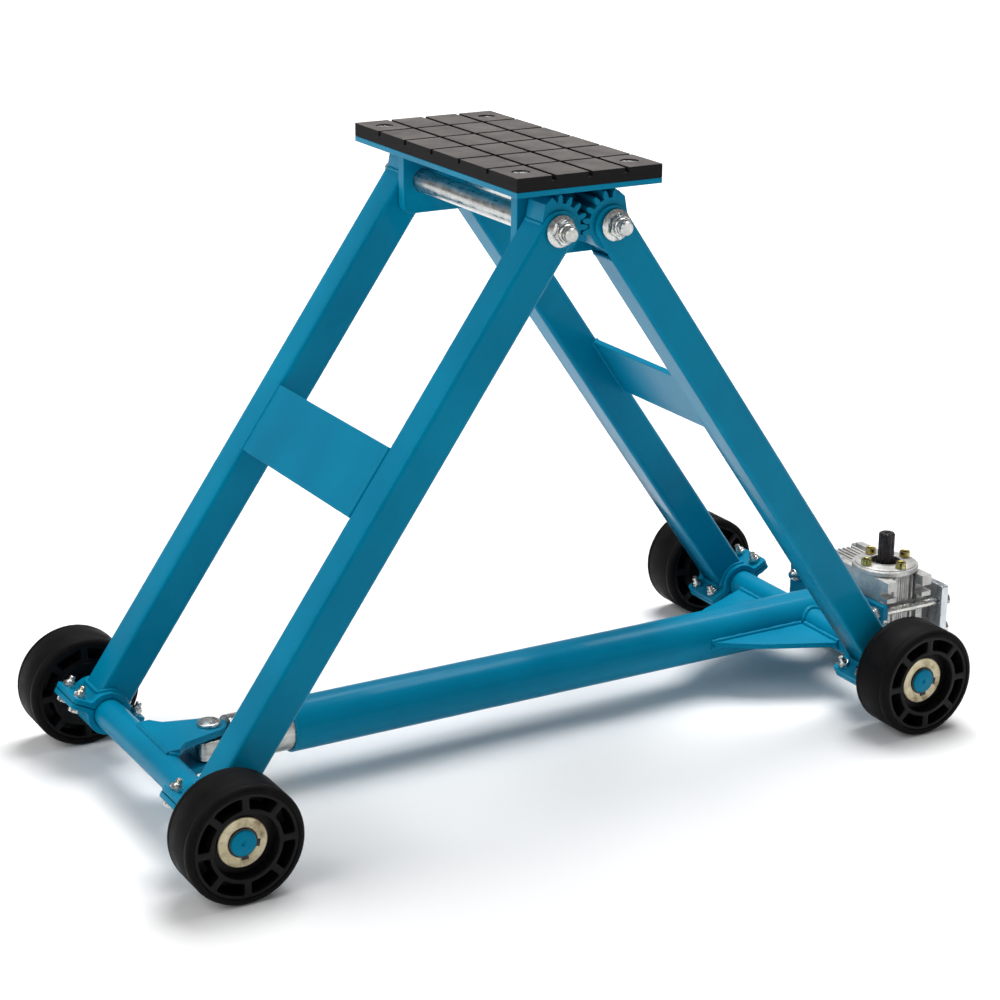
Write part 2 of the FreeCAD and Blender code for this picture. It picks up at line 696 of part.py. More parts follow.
def screw_drive():
    """Lead screw, its thrust bearing, and the nut in the end of the sliding tube."""
    left = DRIVE_X - size["screw_reach"]
    collar_x = DRIVE_X + 24
    collar_length = 7
    bearing_x = collar_x + collar_length
    journal_end = DRIVE_X + HOUSING_END - 1
    thread = rod((left, 0, AXLE_Z), "X", "screw_diameter / 2", collar_x - left)
    collar = rod((collar_x, 0, AXLE_Z), "X", "screw_diameter / 2 + 6", collar_length)
    journal = rod((collar_x, 0, AXLE_Z), "X", "screw_journal / 2", journal_end - collar_x)
    node(fuse(thread, collar, journal), "lead_screw")

    end_play = 0.2
    bearing_length = DRIVE_X + size["mount_reach"] - bearing_x - end_play
    ring = rod((bearing_x + end_play, 0, AXLE_Z), "X", "outer_tube_bore / 2 - pin_gap", bearing_length)
    hole = rod((bearing_x, 0, AXLE_Z), "X", "screw_journal / 2 + running_gap", bearing_length + 1)
    node(cut(ring, hole), "screw_thrust_bearing")

    nut_end = DRIVE_X - size["inner_tube_gap"]
    plug_length = 30
    flange_length = 4
    plug = rod((nut_end - plug_length, 0, AXLE_Z), "X", "inner_tube_bore / 2 - pin_gap", plug_length)
    flange = rod((nut_end, 0, AXLE_Z), "X", "inner_tube_diameter / 2", flange_length)
    bore = rod((nut_end - plug_length, 0, AXLE_Z), "X", "screw_diameter / 2 + pin_gap",
               plug_length + flange_length)
    node(cut(fuse(plug, flange), bore), "drive_nut")

    # The worm wheel: a toothed rim, drawn at its tip radius, on a longer hub.
    wheel_x = DRIVE_X + HOUSING_START + size["housing_length"] / 2
    hub_length = 40
    rim_width = 14
    hub = rod((wheel_x - hub_length / 2, 0, AXLE_Z), "X", "12", hub_length)
    rim = rod((wheel_x - rim_width / 2, 0, AXLE_Z), "X", "20.6", rim_width)
    bore = rod((wheel_x - hub_length / 2, 0, AXLE_Z), "X", "screw_journal / 2 + pin_gap", hub_length)
    node(cut(fuse(hub, rim), bore), "worm_wheel")


def slide_axle_parts():
    """Clevis on the slide axle, the tongue pinned in it, and the sliding tube."""
    node(axle_bar("slide"), "slide_axle")
    pin_x = size["clevis_pin_reach"]
    plates = []
    for up in (-1, 1):
        plate = new_body("clevis_plate")
        # Wide against the axle, then two straight sides and a round tip about the pin.
        tip = 15
        swell = math.degrees(math.asin((24 - tip) / (pin_x - 20)))
        touch = (pin_x + tip * math.sin(math.radians(swell)), tip * math.cos(math.radians(swell)))
        edges = [arc(tip, swell - 90, 90 - swell, x=pin_x)]
        for out in (-1, 1):
            corners = [(touch[0], out * touch[1]), (20, out * 24.5), (12, out * 34), (2, out * 34)]
            edges += [line(corners[i], corners[i + 1]) for i in range(3)]
        edges.append(line((2, -34), (2, 34)))
        pad(plate, "XY_Plane", edges, "clevis_thickness")
        pocket(plate, "XY_Plane", [circle(size["clevis_pin_diameter"] / 2 + size["pin_gap"], x=pin_x)])
        height = up * (size["clevis_gap"] + size["clevis_thickness"]) / 2
        place(plate, (SLIDE_X, 0, AXLE_Z + height))
        axle = rod((SLIDE_X, -size["axle_shoulder"], AXLE_Z), "Y", "axle_diameter / 2",
                   "2 * axle_shoulder")
        plates.append(cut(plate, axle))
    group("clevis_plates", plates)

    top = AXLE_Z + size["clevis_gap"] / 2 + size["clevis_thickness"]
    pin_below = 4
    bottom = 2 * AXLE_Z - top - pin_below
    pin = rod((SLIDE_X + pin_x, 0, bottom), "Z", "clevis_pin_diameter / 2", top - bottom)
    head = rod((SLIDE_X + pin_x, 0, top), "Z", "clevis_pin_diameter / 2 + 2", "3.4")
    node(fuse(pin, head), "clevis_pin")

    tube_x = SLIDE_X + size["inner_tube_start"]
    nose = new_body("tongue")
    half = size["tongue_width"] / 2
    front = -17
    back = size["inner_tube_start"] - pin_x
    pad(nose, "XY_Plane", outline((front, -half, 8), (back, -half), (back, half), (front, half, 8)),
        "tongue_thickness")
    pocket(nose, "XY_Plane", [circle(size["clevis_pin_diameter"] / 2 + size["pin_gap"])])
    place(nose, (SLIDE_X + pin_x, 0, AXLE_Z))
    disc_length = 4
    plug_length = 20
    disc = rod((tube_x - disc_length, 0, AXLE_Z), "X", "inner_tube_diameter / 2", disc_length)
    plug = rod((tube_x - disc_length, 0, AXLE_Z), "X", "inner_tube_bore / 2 - pin_gap",
               disc_length + plug_length)
    node(fuse(nose, disc, plug), "tube_tongue")

    length = DRIVE_X - size["inner_tube_gap"] - tube_x
    skin = rod((tube_x, 0, AXLE_Z), "X", "inner_tube_diameter / 2", length)
    bore = rod((tube_x, 0, AXLE_Z), "X", "inner_tube_bore / 2", length)
    node(cut(skin, bore), "inner_tube")


# ---------------------------------------------------------------- gearbox

# The housing's box: across the stand, and above the floor.
HOUSING_Y = (-57, 40)
HOUSING_Z = (10, 95)
JOINT_GAP = 0.2
END_FRAME = 8
CAVITY_RADIUS = 25.1
WORM_BORE = 12.1


def bolt_spots():
    """Where the long bolts run: across the stand, and from the tube's centre."""
    return [(y, z) for y in (-size["long_bolt_reach"], size["long_bolt_reach"])
            for z in (-size["long_bolt_rise"], size["long_bolt_rise"])]


def drilled_plate(x, y_range, z_range, thick):
    """Plate across the stand with the four bolt holes and the screw's hole."""
    plate = new_body("plate")
    pad(plate, "YZ_Plane", rectangle(*y_range, z_range[0] - AXLE_Z, z_range[1] - AXLE_Z, 2), thick)
    holes = [circle(size["long_bolt"] / 2 + 0.3, y, z) for y, z in bolt_spots()]
    pocket(plate, "YZ_Plane", holes + [circle(size["screw_journal"] / 2 + 2)])
    return place(plate, (x, 0, AXLE_Z))


def housing(start, end):
    """Cast block: two end frames with slotted lugs, ribs between them, and two crossing bores."""
    low_y, high_y = HOUSING_Y
    low_z, high_z = HOUSING_Z
    near = start + JOINT_GAP
    far = end - JOINT_GAP
    span = far - near
    middle = (start + end) / 2
    core_inset = 5
    solids = [box((near, low_y + core_inset + 1, low_z + core_inset), span,
                  high_y - low_y - 2 * core_inset - 1, high_z - low_z - 2 * core_inset)]

    # A lug is a little thicker than the end frame it stands on, and has an open slot for a bolt.
    lug_thick = END_FRAME + 3
    lug_reach = 11
    lug_height = 21
    slot_rise = 5
    slot_height = 6
    slots = []
    for frame_x, lug_x in ((near, near), (far - END_FRAME, far - lug_thick)):
        solids.append(box((frame_x, low_y, low_z), END_FRAME, high_y - low_y, high_z - low_z))
        for z in (low_z, high_z - lug_height):
            solids.append(box((lug_x, low_y - lug_reach, z), lug_thick, lug_reach + 1, lug_height))
            slots.append(box((lug_x - 1, low_y - lug_reach - 1, z + slot_rise),
                             lug_thick + 2, lug_reach, slot_height))

    rib_thick = 2.4
    ribs = 6
    pitch = (span - 2 * END_FRAME) / (ribs + 1)
    for index in range(1, ribs + 1):
        x = near + END_FRAME + index * pitch - rib_thick / 2
        solids.append(box((x, low_y + 1, low_z + 2), rib_thick, high_y - low_y - 2,
                          high_z - low_z - 4))
    for z in (AXLE_Z - 16, AXLE_Z + 16):
        solids.append(box((near, low_y + 1, z), span, 6, rib_thick))

    boss_height = 50
    solids.append(rod((middle, -size["worm_offset"], high_z - boss_height), "Z", 26, boss_height))
    cavity = rod((start - 1, 0, AXLE_Z), "X", CAVITY_RADIUS, end - start + 2)
    worm_bore = rod((middle, -size["worm_offset"], low_z + 4), "Z", WORM_BORE, high_z - low_z)
    return cut(fuse(*solids), cavity, worm_bore, *slots)


def gearbox():
    """Worm gearbox held between a welded plate and a loose clamp plate by four long bolts."""
    start = DRIVE_X + HOUSING_START
    end = DRIVE_X + HOUSING_END
    mount_x = start - size["mount_thickness"] / 2
    clamp_start = end + size["cover_length"]
    clamp_x = clamp_start + size["clamp_thickness"] / 2
    node(drilled_plate(mount_x, (-71, 75), (24, 73.5), "mount_thickness"), "gearbox_mount_plate")
    node(drilled_plate(clamp_x, (-71, 71), (22, 81.5), "clamp_thickness"), "gearbox_clamp_plate")
    node(housing(start, end), "gearbox_housing")

    # Both covers plug the bore; the far one also has a thick round flange outside the housing.
    plug_length = 5
    bore = "screw_journal / 2 + running_gap"
    near_x = start + JOINT_GAP
    near_plug = rod((near_x, 0, AXLE_Z), "X", CAVITY_RADIUS - 0.1, plug_length)
    near_hole = rod((near_x, 0, AXLE_Z), "X", bore, plug_length)
    far_x = end - JOINT_GAP - plug_length
    far_plug = rod((far_x, 0, AXLE_Z), "X", CAVITY_RADIUS - 0.1, plug_length + 1)
    far_flange = rod((end, 0, AXLE_Z), "X", 36, size["cover_length"] - JOINT_GAP)
    far_hole = rod((far_x, 0, AXLE_Z), "X", bore, plug_length + size["cover_length"] + 1)
    covers = [cut(near_plug, near_hole), cut(fuse(far_plug, far_flange), far_hole)]
    group("gearbox_covers", covers)
    input_side((start + end) / 2)
    long_bolts(clamp_start + size["clamp_thickness"])


def input_side(x):
    """Worm shaft with its bearings, and the round flange that closes its bore."""
    y = -size["worm_offset"]
    low_z, high_z = HOUSING_Z
    flange_z = high_z + 0.1
    flange_top = flange_z + 6.5
    flange_height = flange_top - flange_z
    flange = rod((x, y, flange_z), "Z", 31.5, flange_height)
    spigot = rod((x, y, flange_z), "Z", 15.5, flange_height + 1.2)
    hole = rod((x, y, flange_z), "Z", "input_journal / 2 + 1", flange_height + 2)
    screw_circle = 23
    spots = []
    for turn in (0, 90, 180, 270):
        angle = math.radians(turn)
        spots.append((x + screw_circle * math.cos(angle), y + screw_circle * math.sin(angle)))
    screw_radius = 3
    through = [rod((*spot, flange_z), "Z", screw_radius + 0.3, flange_height) for spot in spots]
    node(cut(fuse(flange, spigot), hole, *through), "input_flange")
    head_height = 6
    screws = []
    for spot in spots:
        shank = rod((*spot, flange_z), "Z", screw_radius, flange_height)
        head = rod((*spot, flange_top), "Z", 5, head_height)
        socket = hexagon((*spot, flange_top + head_height / 2), "Z", 5, head_height / 2)
        screws.append(cut(fuse(shank, head), socket))
    group("input_flange_bolts", screws)

    # The drive end is a little thinner than the journal, so a drill socket stops at the shoulder.
    shaft_low = low_z + 6
    journal = rod((x, y, shaft_low), "Z", "input_journal / 2", size["input_shoulder"] - shaft_low)
    worm_length = 36
    worm = rod((x, y, AXLE_Z - worm_length / 2), "Z", 8.7, worm_length)
    end = rod((x, y, size["input_shoulder"]), "Z", "input_diameter / 2", "input_top - input_shoulder")
    rounded = doc.addObject("Part::Chamfer", free_name("chamfer"))
    rounded.Base = end
    doc.recompute()
    edges = end.Shape.Edges
    top_edge = max(range(len(edges)), key=lambda index: edges[index].CenterOfMass.z)
    rounded.Edges = [(top_edge + 1, 1.0, 1.0)]
    node(fuse(journal, worm, rounded), "worm_shaft")

    race_height = 9
    bearings = []
    for z in (shaft_low + 1, high_z - race_height - 1):
        race = rod((x, y, z), "Z", WORM_BORE - 0.1, race_height)
        bore = rod((x, y, z), "Z", "input_journal / 2 + pin_gap", race_height)
        bearings.append(cut(race, bore))
    group("worm_bearings", bearings)


def long_bolts(head_x):
    """Long bolts from the clamp plate's outer face to nuts inside the welded plate."""
    flats = 13
    nut_height = 6.5
    nut_x = DRIVE_X + size["mount_reach"] - nut_height
    tip_x = nut_x - 3
    bolts = []
    nuts = []
    for y, rise in bolt_spots():
        z = AXLE_Z + rise
        shank = rod((tip_x, y, z), "X", "long_bolt / 2 - pin_gap", head_x - tip_x)
        head = hexagon((head_x, y, z), "X", flats, LONG_BOLT_HEAD)
        bolts.append(fuse(shank, head))
        blank = hexagon((nut_x, y, z), "X", flats, nut_height)
        thread = rod((nut_x, y, z), "X", "long_bolt / 2 + pin_gap", nut_height)
        nuts.append(cut(blank, thread))
    group("gearbox_long_bolts", bolts)
    group("gearbox_nuts", nuts)


# ---------------------------------------------------------------- assembly

for frame_name in FRAMES:
    for side_name in SIDES:
        leg_tube(frame_name, side_name)
        gear_sector(frame_name, side_name)
        wheel(frame_name, side_name)
    web_plate(frame_name)
    group(f"{frame_name}_bearing_shells", [bearing_half(frame_name, side, 1) for side in SIDES])
    group(f"{frame_name}_bearing_caps", [bearing_half(frame_name, side, -1) for side in SIDES])
    clamp_fasteners(frame_name)
    axle_rings(frame_name)
saddle()
base_frame()
screw_drive()
slide_axle_parts()
gearbox()
doc.recompute()

for thing in doc.Objects:
    if "Invalid" in thing.State or "Error" in thing.State:
        raise RuntimeError(f"{thing.Name} ({thing.Label}) failed: {thing.State}")
for piece in nodes:
    if piece.Shape.isNull() or not piece.Shape.isValid() or not piece.Shape.Solids:
        raise RuntimeError(f"{piece.Label} has no valid solid")

os.makedirs("parts", exist_ok=True)
for piece in nodes:
    piece.Shape.exportStep(f"parts/{piece.Label}.step")
    print(f"{piece.Label}: {len(piece.Shape.Solids)} solid(s), {piece.Shape.Volume / 1000:.1f} cm3")
print(f"{len(nodes)} nodes, stand {TOTAL_LENGTH:.1f} long, pad top at {PAD_Z + size['pad_thickness']:.1f}")
print(f"drive axle x {DRIVE_X:.2f}, slide axle x {SLIDE_X:.2f}, hinge shafts z {PIN_Z:.2f}")
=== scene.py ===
# %% [markdown]
# # A screw-driven lift stand
#
# This stand carries a load on a rubber pad. Two leg frames of square tube hinge under the pad, and
# a lead screw inside the long tube draws their wheels together, which lifts the pad. The engineering
# model arrives as a fixed frame of nodes in metres, and everything below is built around it.

# %% Load the frame
import json
import math

import bmesh
import bpy
from mathutils import Matrix, Vector


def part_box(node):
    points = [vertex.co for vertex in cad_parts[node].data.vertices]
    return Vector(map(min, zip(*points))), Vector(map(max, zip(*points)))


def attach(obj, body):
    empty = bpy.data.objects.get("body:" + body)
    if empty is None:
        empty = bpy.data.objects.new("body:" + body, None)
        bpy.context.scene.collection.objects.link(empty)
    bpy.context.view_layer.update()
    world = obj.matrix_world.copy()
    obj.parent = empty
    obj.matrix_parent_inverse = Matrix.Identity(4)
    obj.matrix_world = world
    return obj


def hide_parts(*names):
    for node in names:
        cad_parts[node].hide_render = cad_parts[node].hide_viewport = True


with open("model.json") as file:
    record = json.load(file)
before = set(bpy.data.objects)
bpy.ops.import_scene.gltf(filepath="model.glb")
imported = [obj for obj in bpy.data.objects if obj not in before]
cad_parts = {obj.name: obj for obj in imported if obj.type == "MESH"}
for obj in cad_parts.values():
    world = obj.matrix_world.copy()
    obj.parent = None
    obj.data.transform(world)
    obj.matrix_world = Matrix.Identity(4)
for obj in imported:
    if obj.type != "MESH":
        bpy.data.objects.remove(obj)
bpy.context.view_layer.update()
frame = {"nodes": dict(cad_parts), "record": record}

# %% [markdown]
# ## Places
#
# Every place below is read from the frame, so that a change of the engineering model moves the
# looks with it. A leg has a frame of its own: its origin is on the axle, and its Z runs up the leg.

# %% Read the places
MM = 0.001


def centre(node):
    """The middle of a node's box, in metres."""
    low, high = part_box(node)
    return (low + high) / 2


INWARD = {"slide": 1, "drive": -1}
SIDES = {"front": -1, "rear": 1}
axle_at = {end: centre(f"{end}_axle") for end in INWARD}
pin_at = {end: centre(f"{end}_hinge_shaft") for end in INWARD}
LEG_Y = abs(centre("slide_leg_front").y)
bodies = frame["record"]["behaviour"]["bodies"]
body_of = {node: body for body, nodes in bodies.items() for node in nodes}
slot_of = {name: thing.material_slots[0].material.name for name, thing in frame["nodes"].items()}


def leg_frame(end, y=0.0):
    """Local millimetres of a leg to the shared frame: Z up the leg, Y across the stand."""
    along = (pin_at[end] - axle_at[end]).normalized()
    across = Vector((0, 1, 0))
    side = across.cross(along)
    turn = Matrix((side, across, along)).transposed().to_4x4()
    return Matrix.Translation(axle_at[end] + across * y) @ turn @ Matrix.Scale(MM, 4)


def along_axis(at, axis):
    """Local millimetres to the shared frame, with local Z turned onto the axis."""
    turn = Vector(axis).to_track_quat("Z", "Y").to_matrix().to_4x4()
    return Matrix.Translation(at) @ turn @ Matrix.Scale(MM, 4)


LEG_LENGTH = (pin_at["slide"] - axle_at["slide"]).length / MM
AXLE_SPAN = (axle_at["drive"].x - axle_at["slide"].x) / MM
print("leg", round(LEG_LENGTH, 1), "mm, axles", round(AXLE_SPAN, 1), "mm apart")

# %% [markdown]
# ## Node boards
#
# A shader and a geometry recipe are both boards of nodes. Sums read better as sums, so a Wire is
# one output socket, and arithmetic on it adds the Math nodes. Every other node comes from one method
# that takes its settings and its sockets.

# %% Wires and boards


def pick(sockets, key):
    """A socket by its number, identifier or name."""
    if isinstance(key, int):
        return sockets[key]
    found = [one for one in sockets if one.identifier == key] or [one for one in sockets if one.name == key]
    return found[0]


class Wire:
    """One output socket. Arithmetic on wires adds Math nodes."""

    def __init__(self, board, socket):
        self.board = board
        self.socket = socket

    def out(self, key):
        return Wire(self.board, pick(self.socket.node.outputs, key))

    def __add__(self, other):
        return self.board.maths("ADD", self, other)

    def __sub__(self, other):
        return self.board.maths("SUBTRACT", self, other)

    def __rsub__(self, other):
        return self.board.maths("SUBTRACT", other, self)

    def __mul__(self, other):
        return self.board.maths("MULTIPLY", self, other)

    __radd__ = __add__
    __rmul__ = __mul__


class Board:
    """A node tree under construction."""

    def __init__(self, tree):
        self.tree = tree

    def node(self, kind, settings=None, inputs=None, out=0):
        made = self.tree.nodes.new(kind)
        for name, value in (settings or {}).items():
            setattr(made, name, value)
        for key, value in (inputs or {}).items():
            socket = pick(made.inputs, key)
            if isinstance(value, Wire):
                self.tree.links.new(value.socket, socket)
            else:
                socket.default_value = value
        return Wire(self, pick(made.outputs, out)) if len(made.outputs) else None

    def maths(self, operation, *values):
        return self.node("ShaderNodeMath", {"operation": operation}, dict(enumerate(values)))

    def stretch(self, where, factors):
        return self.node("ShaderNodeVectorMath", {"operation": "MULTIPLY"}, {0: where, 1: factors})

    def noise(self, where, scale, detail=2.0, roughness=0.5):
        sockets = {"Vector": where, "Scale": scale, "Detail": detail, "Roughness": roughness}
        return self.node("ShaderNodeTexNoise", None, sockets, "Fac")

    def ramp(self, value, low, high, start=0.0, end=1.0):
        sockets = {"Value": value, "From Min": low, "From Max": high, "To Min": start, "To Max": end}
        return self.node("ShaderNodeMapRange", None, sockets)

    def blend(self, factor, first, second):
        sockets = {"Factor_Float": factor, "A_Color": first, "B_Color": second}
        return self.node("ShaderNodeMix", {"data_type": "RGBA"}, sockets, "Result_Color")

    def bump(self, height, strength, distance):
        sockets = {"Height": height, "Strength": strength, "Distance": distance}
        return self.node("ShaderNodeBump", None, sockets)


# %% [markdown]
# ## Finishes
#
# Each finish is one short recipe on Object coordinates, so its grain has a real size in metres.
# A recipe returns only what changes over the surface; what is the same all over is set on the
# shader's own sockets.

# %% Finish maker


def tone(red, green, blue):
    """A colour picked on a 0 to 255 chart, as the shader's linear colour."""
    linear = [((one / 255 + 0.055) / 1.055) ** 2.4 if one > 10 else one / 255 / 12.92
              for one in (red, green, blue)]
    return (*linear, 1.0)


def new_finish(name, recipe, **fixed):
    material = bpy.data.materials.new(name)
    material.use_nodes = True
    board = Board(material.node_tree)
    board.tree.nodes.clear()
    where = board.node("ShaderNodeTexCoord", out="Object")
    sockets = {key.replace("_", " "): value for key, value in fixed.items()}
    sockets.update(recipe(board, where))
    shader = board.node("ShaderNodeBsdfPrincipled", None, sockets)
    board.node("ShaderNodeOutputMaterial", None, {"Surface": shader})
    return material


# %% [markdown]
# Enamel is sprayed on and baked. It pools a little, so its colour drifts over a hand's width, it
# holds a fine flake, and its skin has the soft dimples called orange peel.

# %% Blue enamel


def enamel_recipe(board, where):
    cloud = board.noise(where, 11, 3)
    flake = board.noise(where, 2100, 1)
    mix = board.ramp(cloud * 0.55 + flake * 0.45, 0.36, 0.64)
    peel = board.noise(where, 330, 2)
    return {
        "Base Color": board.blend(mix, tone(0, 112, 146), tone(0, 131, 166)),
        "Roughness": board.ramp(cloud, 0.3, 0.7, 0.32, 0.44),
        "Normal": board.bump(peel, 0.12, 0.0006),
    }


blue_enamel = new_finish("blue_enamel", enamel_recipe, Specular_IOR_Level=0.2,
                         Specular_Tint=tone(0, 160, 205), Coat_Weight=0.07, Coat_Roughness=0.05)

# %% [markdown]
# Zinc plating is bright but never even: it clouds over, it picks up stains, and on a drawn bar the
# tool marks run along it. One recipe with different grain makes every bare metal but the castings.

# %% Zinc and steel


def plated_recipe(light, dark, grain, polish, dull, stain=None):
    """Plated metal: grain stretches the streaks, polish and dull are the roughness limits."""
    def recipe(board, where):
        streak = board.noise(board.stretch(where, grain), 1, 3, 0.6)
        cloud = board.noise(where, 130, 3)
        colour = board.blend(board.ramp(streak * 0.6 + cloud * 0.4, 0.38, 0.62), dark, light)
        if stain:
            colour = board.blend(board.ramp(board.noise(where, 75, 4, 0.65), 0.5, 0.72), colour, stain)
        return {
            "Base Color": colour,
            "Roughness": board.ramp(streak + cloud, 0.75, 1.25, polish, dull),
            "Normal": board.bump(streak, 0.12, 0.0002),
        }
    return recipe


def plated(name, metallic, *looks):
    """A finish from the plated recipe."""
    return new_finish(name, plated_recipe(*looks), Metallic=metallic)


EVEN = (420, 420, 420)
ALONG_X = (60, 380, 380)
ALONG_Y = (520, 26, 520)
bright_zinc = plated("bright_zinc_plate", 1.0, tone(226, 226, 222), tone(170, 172, 174), EVEN, 0.14, 0.34,
                     tone(196, 190, 168))
shaft_zinc = plated("drawn_zinc_shaft", 1.0, tone(222, 223, 220), tone(172, 174, 174), ALONG_Y, 0.22, 0.42,
                    tone(186, 186, 178))
tube_zinc = plated("drawn_zinc_tube", 1.0, tone(216, 215, 210), tone(174, 174, 170), ALONG_X, 0.22, 0.42,
                   tone(190, 185, 168))
plate_zinc = plated("plate_zinc", 0.9, tone(216, 220, 224), tone(182, 188, 194), (160, 160, 40), 0.24, 0.42)
washer_zinc = plated("cream_zinc", 0.55, tone(226, 216, 186), tone(190, 178, 142), (150, 150, 150), 0.34,
                     0.55, tone(120, 100, 62))
yellow_zinc = plated("yellow_zinc", 1.0, tone(196, 180, 104), tone(138, 136, 84), (260, 260, 260), 0.2, 0.4,
                     tone(150, 120, 92))
black_steel = plated("blackened_steel", 0.8, tone(74, 70, 70), tone(40, 38, 40), EVEN, 0.32, 0.5)
bronze = plated("screw_bronze", 1.0, tone(190, 150, 92), tone(150, 112, 62), EVEN, 0.3, 0.45)

# %% [markdown]
# The gearbox is die-cast aluminium: a bright skin with a fine pebble, and a grey film in places.

# %% Cast aluminium


def cast_recipe(board, where):
    pebble = board.noise(where, 900, 4, 0.6)
    film = board.noise(where, 60, 4, 0.65)
    return {
        "Base Color": board.blend(board.ramp(film * 0.6 + pebble * 0.4, 0.36, 0.66),
                                  tone(158, 157, 155), tone(224, 223, 220)),
        "Roughness": board.ramp(pebble, 0.3, 0.7, 0.38, 0.54),
        "Normal": board.bump(pebble, 0.3, 0.0004),
    }


cast_aluminium = new_finish("cast_aluminium", cast_recipe, Metallic=0.65)

# %% [markdown]
# Three blacks: the pad's hard rubber, whose tile faces carry painted light, pale grey as if lit from above,
# with scuff-like mottling, while grooves and sides stay dark; the tyres' softer rubber with a trace of dust;
# and the hubs' moulded nylon.

# %% Rubbers and nylon
PAD_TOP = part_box("rubber_pad")[1].z


def pad_recipe(board, where):
    height = board.node("ShaderNodeSeparateXYZ", None, {"Vector": where}, "Z")
    # painted light: only the topmost face is coloured pale grey as if lit from above; sides and grooves below
    # it keep the dark rubber
    face = board.ramp(height, PAD_TOP - 0.5 * MM, PAD_TOP - 0.1 * MM)
    fleck = board.noise(where, 1500, 3, 0.7)
    scuff = board.noise(where, 34, 5, 0.7)
    side = board.blend(board.ramp(fleck, 0.4, 0.7), tone(13, 12, 14), tone(26, 24, 26))
    wear = board.ramp(fleck * 0.5 + scuff * 0.5, 0.38, 0.62)
    # pale top colour: painted light, mottled between two greys by the scuff noise
    lit_scuffed_top = board.blend(wear, tone(66, 62, 61), tone(98, 93, 90))
    return {
        "Base Color": board.blend(face, side, lit_scuffed_top),
        "Roughness": board.ramp(fleck, 0.3, 0.7, 0.62, 0.86),
        "Normal": board.bump(fleck, 0.35, 0.0004),
    }


def tyre_recipe(board, where):
    fleck = board.noise(where, 1300, 3, 0.7)
    dust = board.noise(where, 55, 5, 0.7)
    mix = board.ramp(fleck * 0.4 + dust * 0.6, 0.4, 0.68)
    return {
        "Base Color": board.blend(mix, tone(9, 8, 9), tone(24, 22, 22)),
        "Roughness": board.ramp(dust, 0.35, 0.7, 0.5, 0.72),
        "Normal": board.bump(fleck, 0.22, 0.0004),
    }


def nylon_recipe(board, where):
    swirl = board.noise(where, 240, 3, 0.6)
    return {
        "Base Color": board.blend(board.ramp(swirl, 0.4, 0.7), tone(9, 8, 9), tone(19, 17, 18)),
        "Roughness": board.ramp(swirl, 0.3, 0.7, 0.36, 0.5),
        "Normal": board.bump(swirl, 0.1, 0.0003),
    }


pad_rubber = new_finish("pad_rubber_black", pad_recipe, Specular_IOR_Level=0.2)
tyre_rubber = new_finish("tyre_rubber_black", tyre_recipe, Specular_IOR_Level=0.07)
hub_nylon = new_finish("hub_nylon_black", nylon_recipe, Specular_IOR_Level=0.14)

FINISH = {
    "blue_paint": blue_enamel,
    "bright_zinc": bright_zinc,
    "zinc_steel": shaft_zinc,
    "dull_zinc": washer_zinc,
    "dark_steel": black_steel,
    "cast_aluminium": cast_aluminium,
    "yellow_zinc": yellow_zinc,
    "pad_rubber": pad_rubber,
    "tyre_rubber": tyre_rubber,
    "wheel_nylon": hub_nylon,
    "bronze": bronze,
}
for name, thing in frame["nodes"].items():
    thing.material_slots[0].material = FINISH[slot_of[name]]
print("finishes:", len(FINISH), "slots filled")

# %% [markdown]
# ## Tools for shapes
#
# A turned part is a profile carried round an axis, as a lathe makes it. The same tool cuts hexagons
# and splines, when a trim function says how far out the stock reaches at each angle. A pressed or
# welded part starts from the engineering mesh: a copy is cleaned and its sharp edges are broken.

# %% Shape tools
SMOOTH = math.radians(35)


def polish(mesh):
    """Smooth shading that stops at real edges."""
    mesh.polygons.foreach_set("use_smooth", [True] * len(mesh.polygons))
    mesh.set_sharp_from_angle(angle=SMOOTH)
    return mesh


def to_mesh(shape, name):
    mesh = bpy.data.meshes.new(name)
    bmesh.ops.recalc_face_normals(shape, faces=shape.faces)
    shape.to_mesh(mesh)
    shape.free()
    return polish(mesh)


def turned(profile, steps=96, trim=None):
    """Closed body turned about Z from (radius, height) points, open at the axis or with a bore."""
    shape = bmesh.new()
    rings = []
    for radius, height, *cut in profile:
        if radius == 0:
            rings.append([shape.verts.new((0, 0, height))])
            continue
        ring = []
        for step in range(steps):
            angle = step * math.tau / steps
            reach = trim(radius, angle) if trim and cut else radius
            ring.append(shape.verts.new((reach * math.cos(angle), reach * math.sin(angle), height)))
        rings.append(ring)
    if profile[0][0] > 0:
        rings.append(rings[0])
    for low, high in zip(rings, rings[1:]):
        for step in range(steps):
            after = (step + 1) % steps
            corners = [low[step % len(low)], low[after % len(low)],
                       high[after % len(high)], high[step % len(high)]]
            corners = list(dict.fromkeys(corners))
            if len(corners) > 2:
                shape.faces.new(corners)
    return shape


def placed(shape, matrix):
    bmesh.ops.transform(shape, matrix=matrix, verts=shape.verts)
    return shape


def joined(shapes):
    """Several bmeshes in one."""
    whole = bmesh.new()
    for shape in shapes:
        part = bpy.data.meshes.new("part")
        shape.to_mesh(part)
        shape.free()
        whole.from_mesh(part)
        bpy.data.meshes.remove(part)
    return whole


def show(mesh, name, body, finish, nodes=()):
    """Puts a finished mesh on its body, in its finish."""
    mesh.materials.clear()
    mesh.materials.append(finish)
    piece = bpy.data.objects.new(name, mesh)
    mesh.name = name
    bpy.context.scene.collection.objects.link(piece)
    if nodes:
        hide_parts(*nodes)
    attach(piece, body)


def stand_in(mesh, node, finish=None):
    """A finished mesh that stands for one engineering node."""
    slot = slot_of[node]
    show(mesh, f"{node}_finished", body_of[node], finish or FINISH[slot], [node])


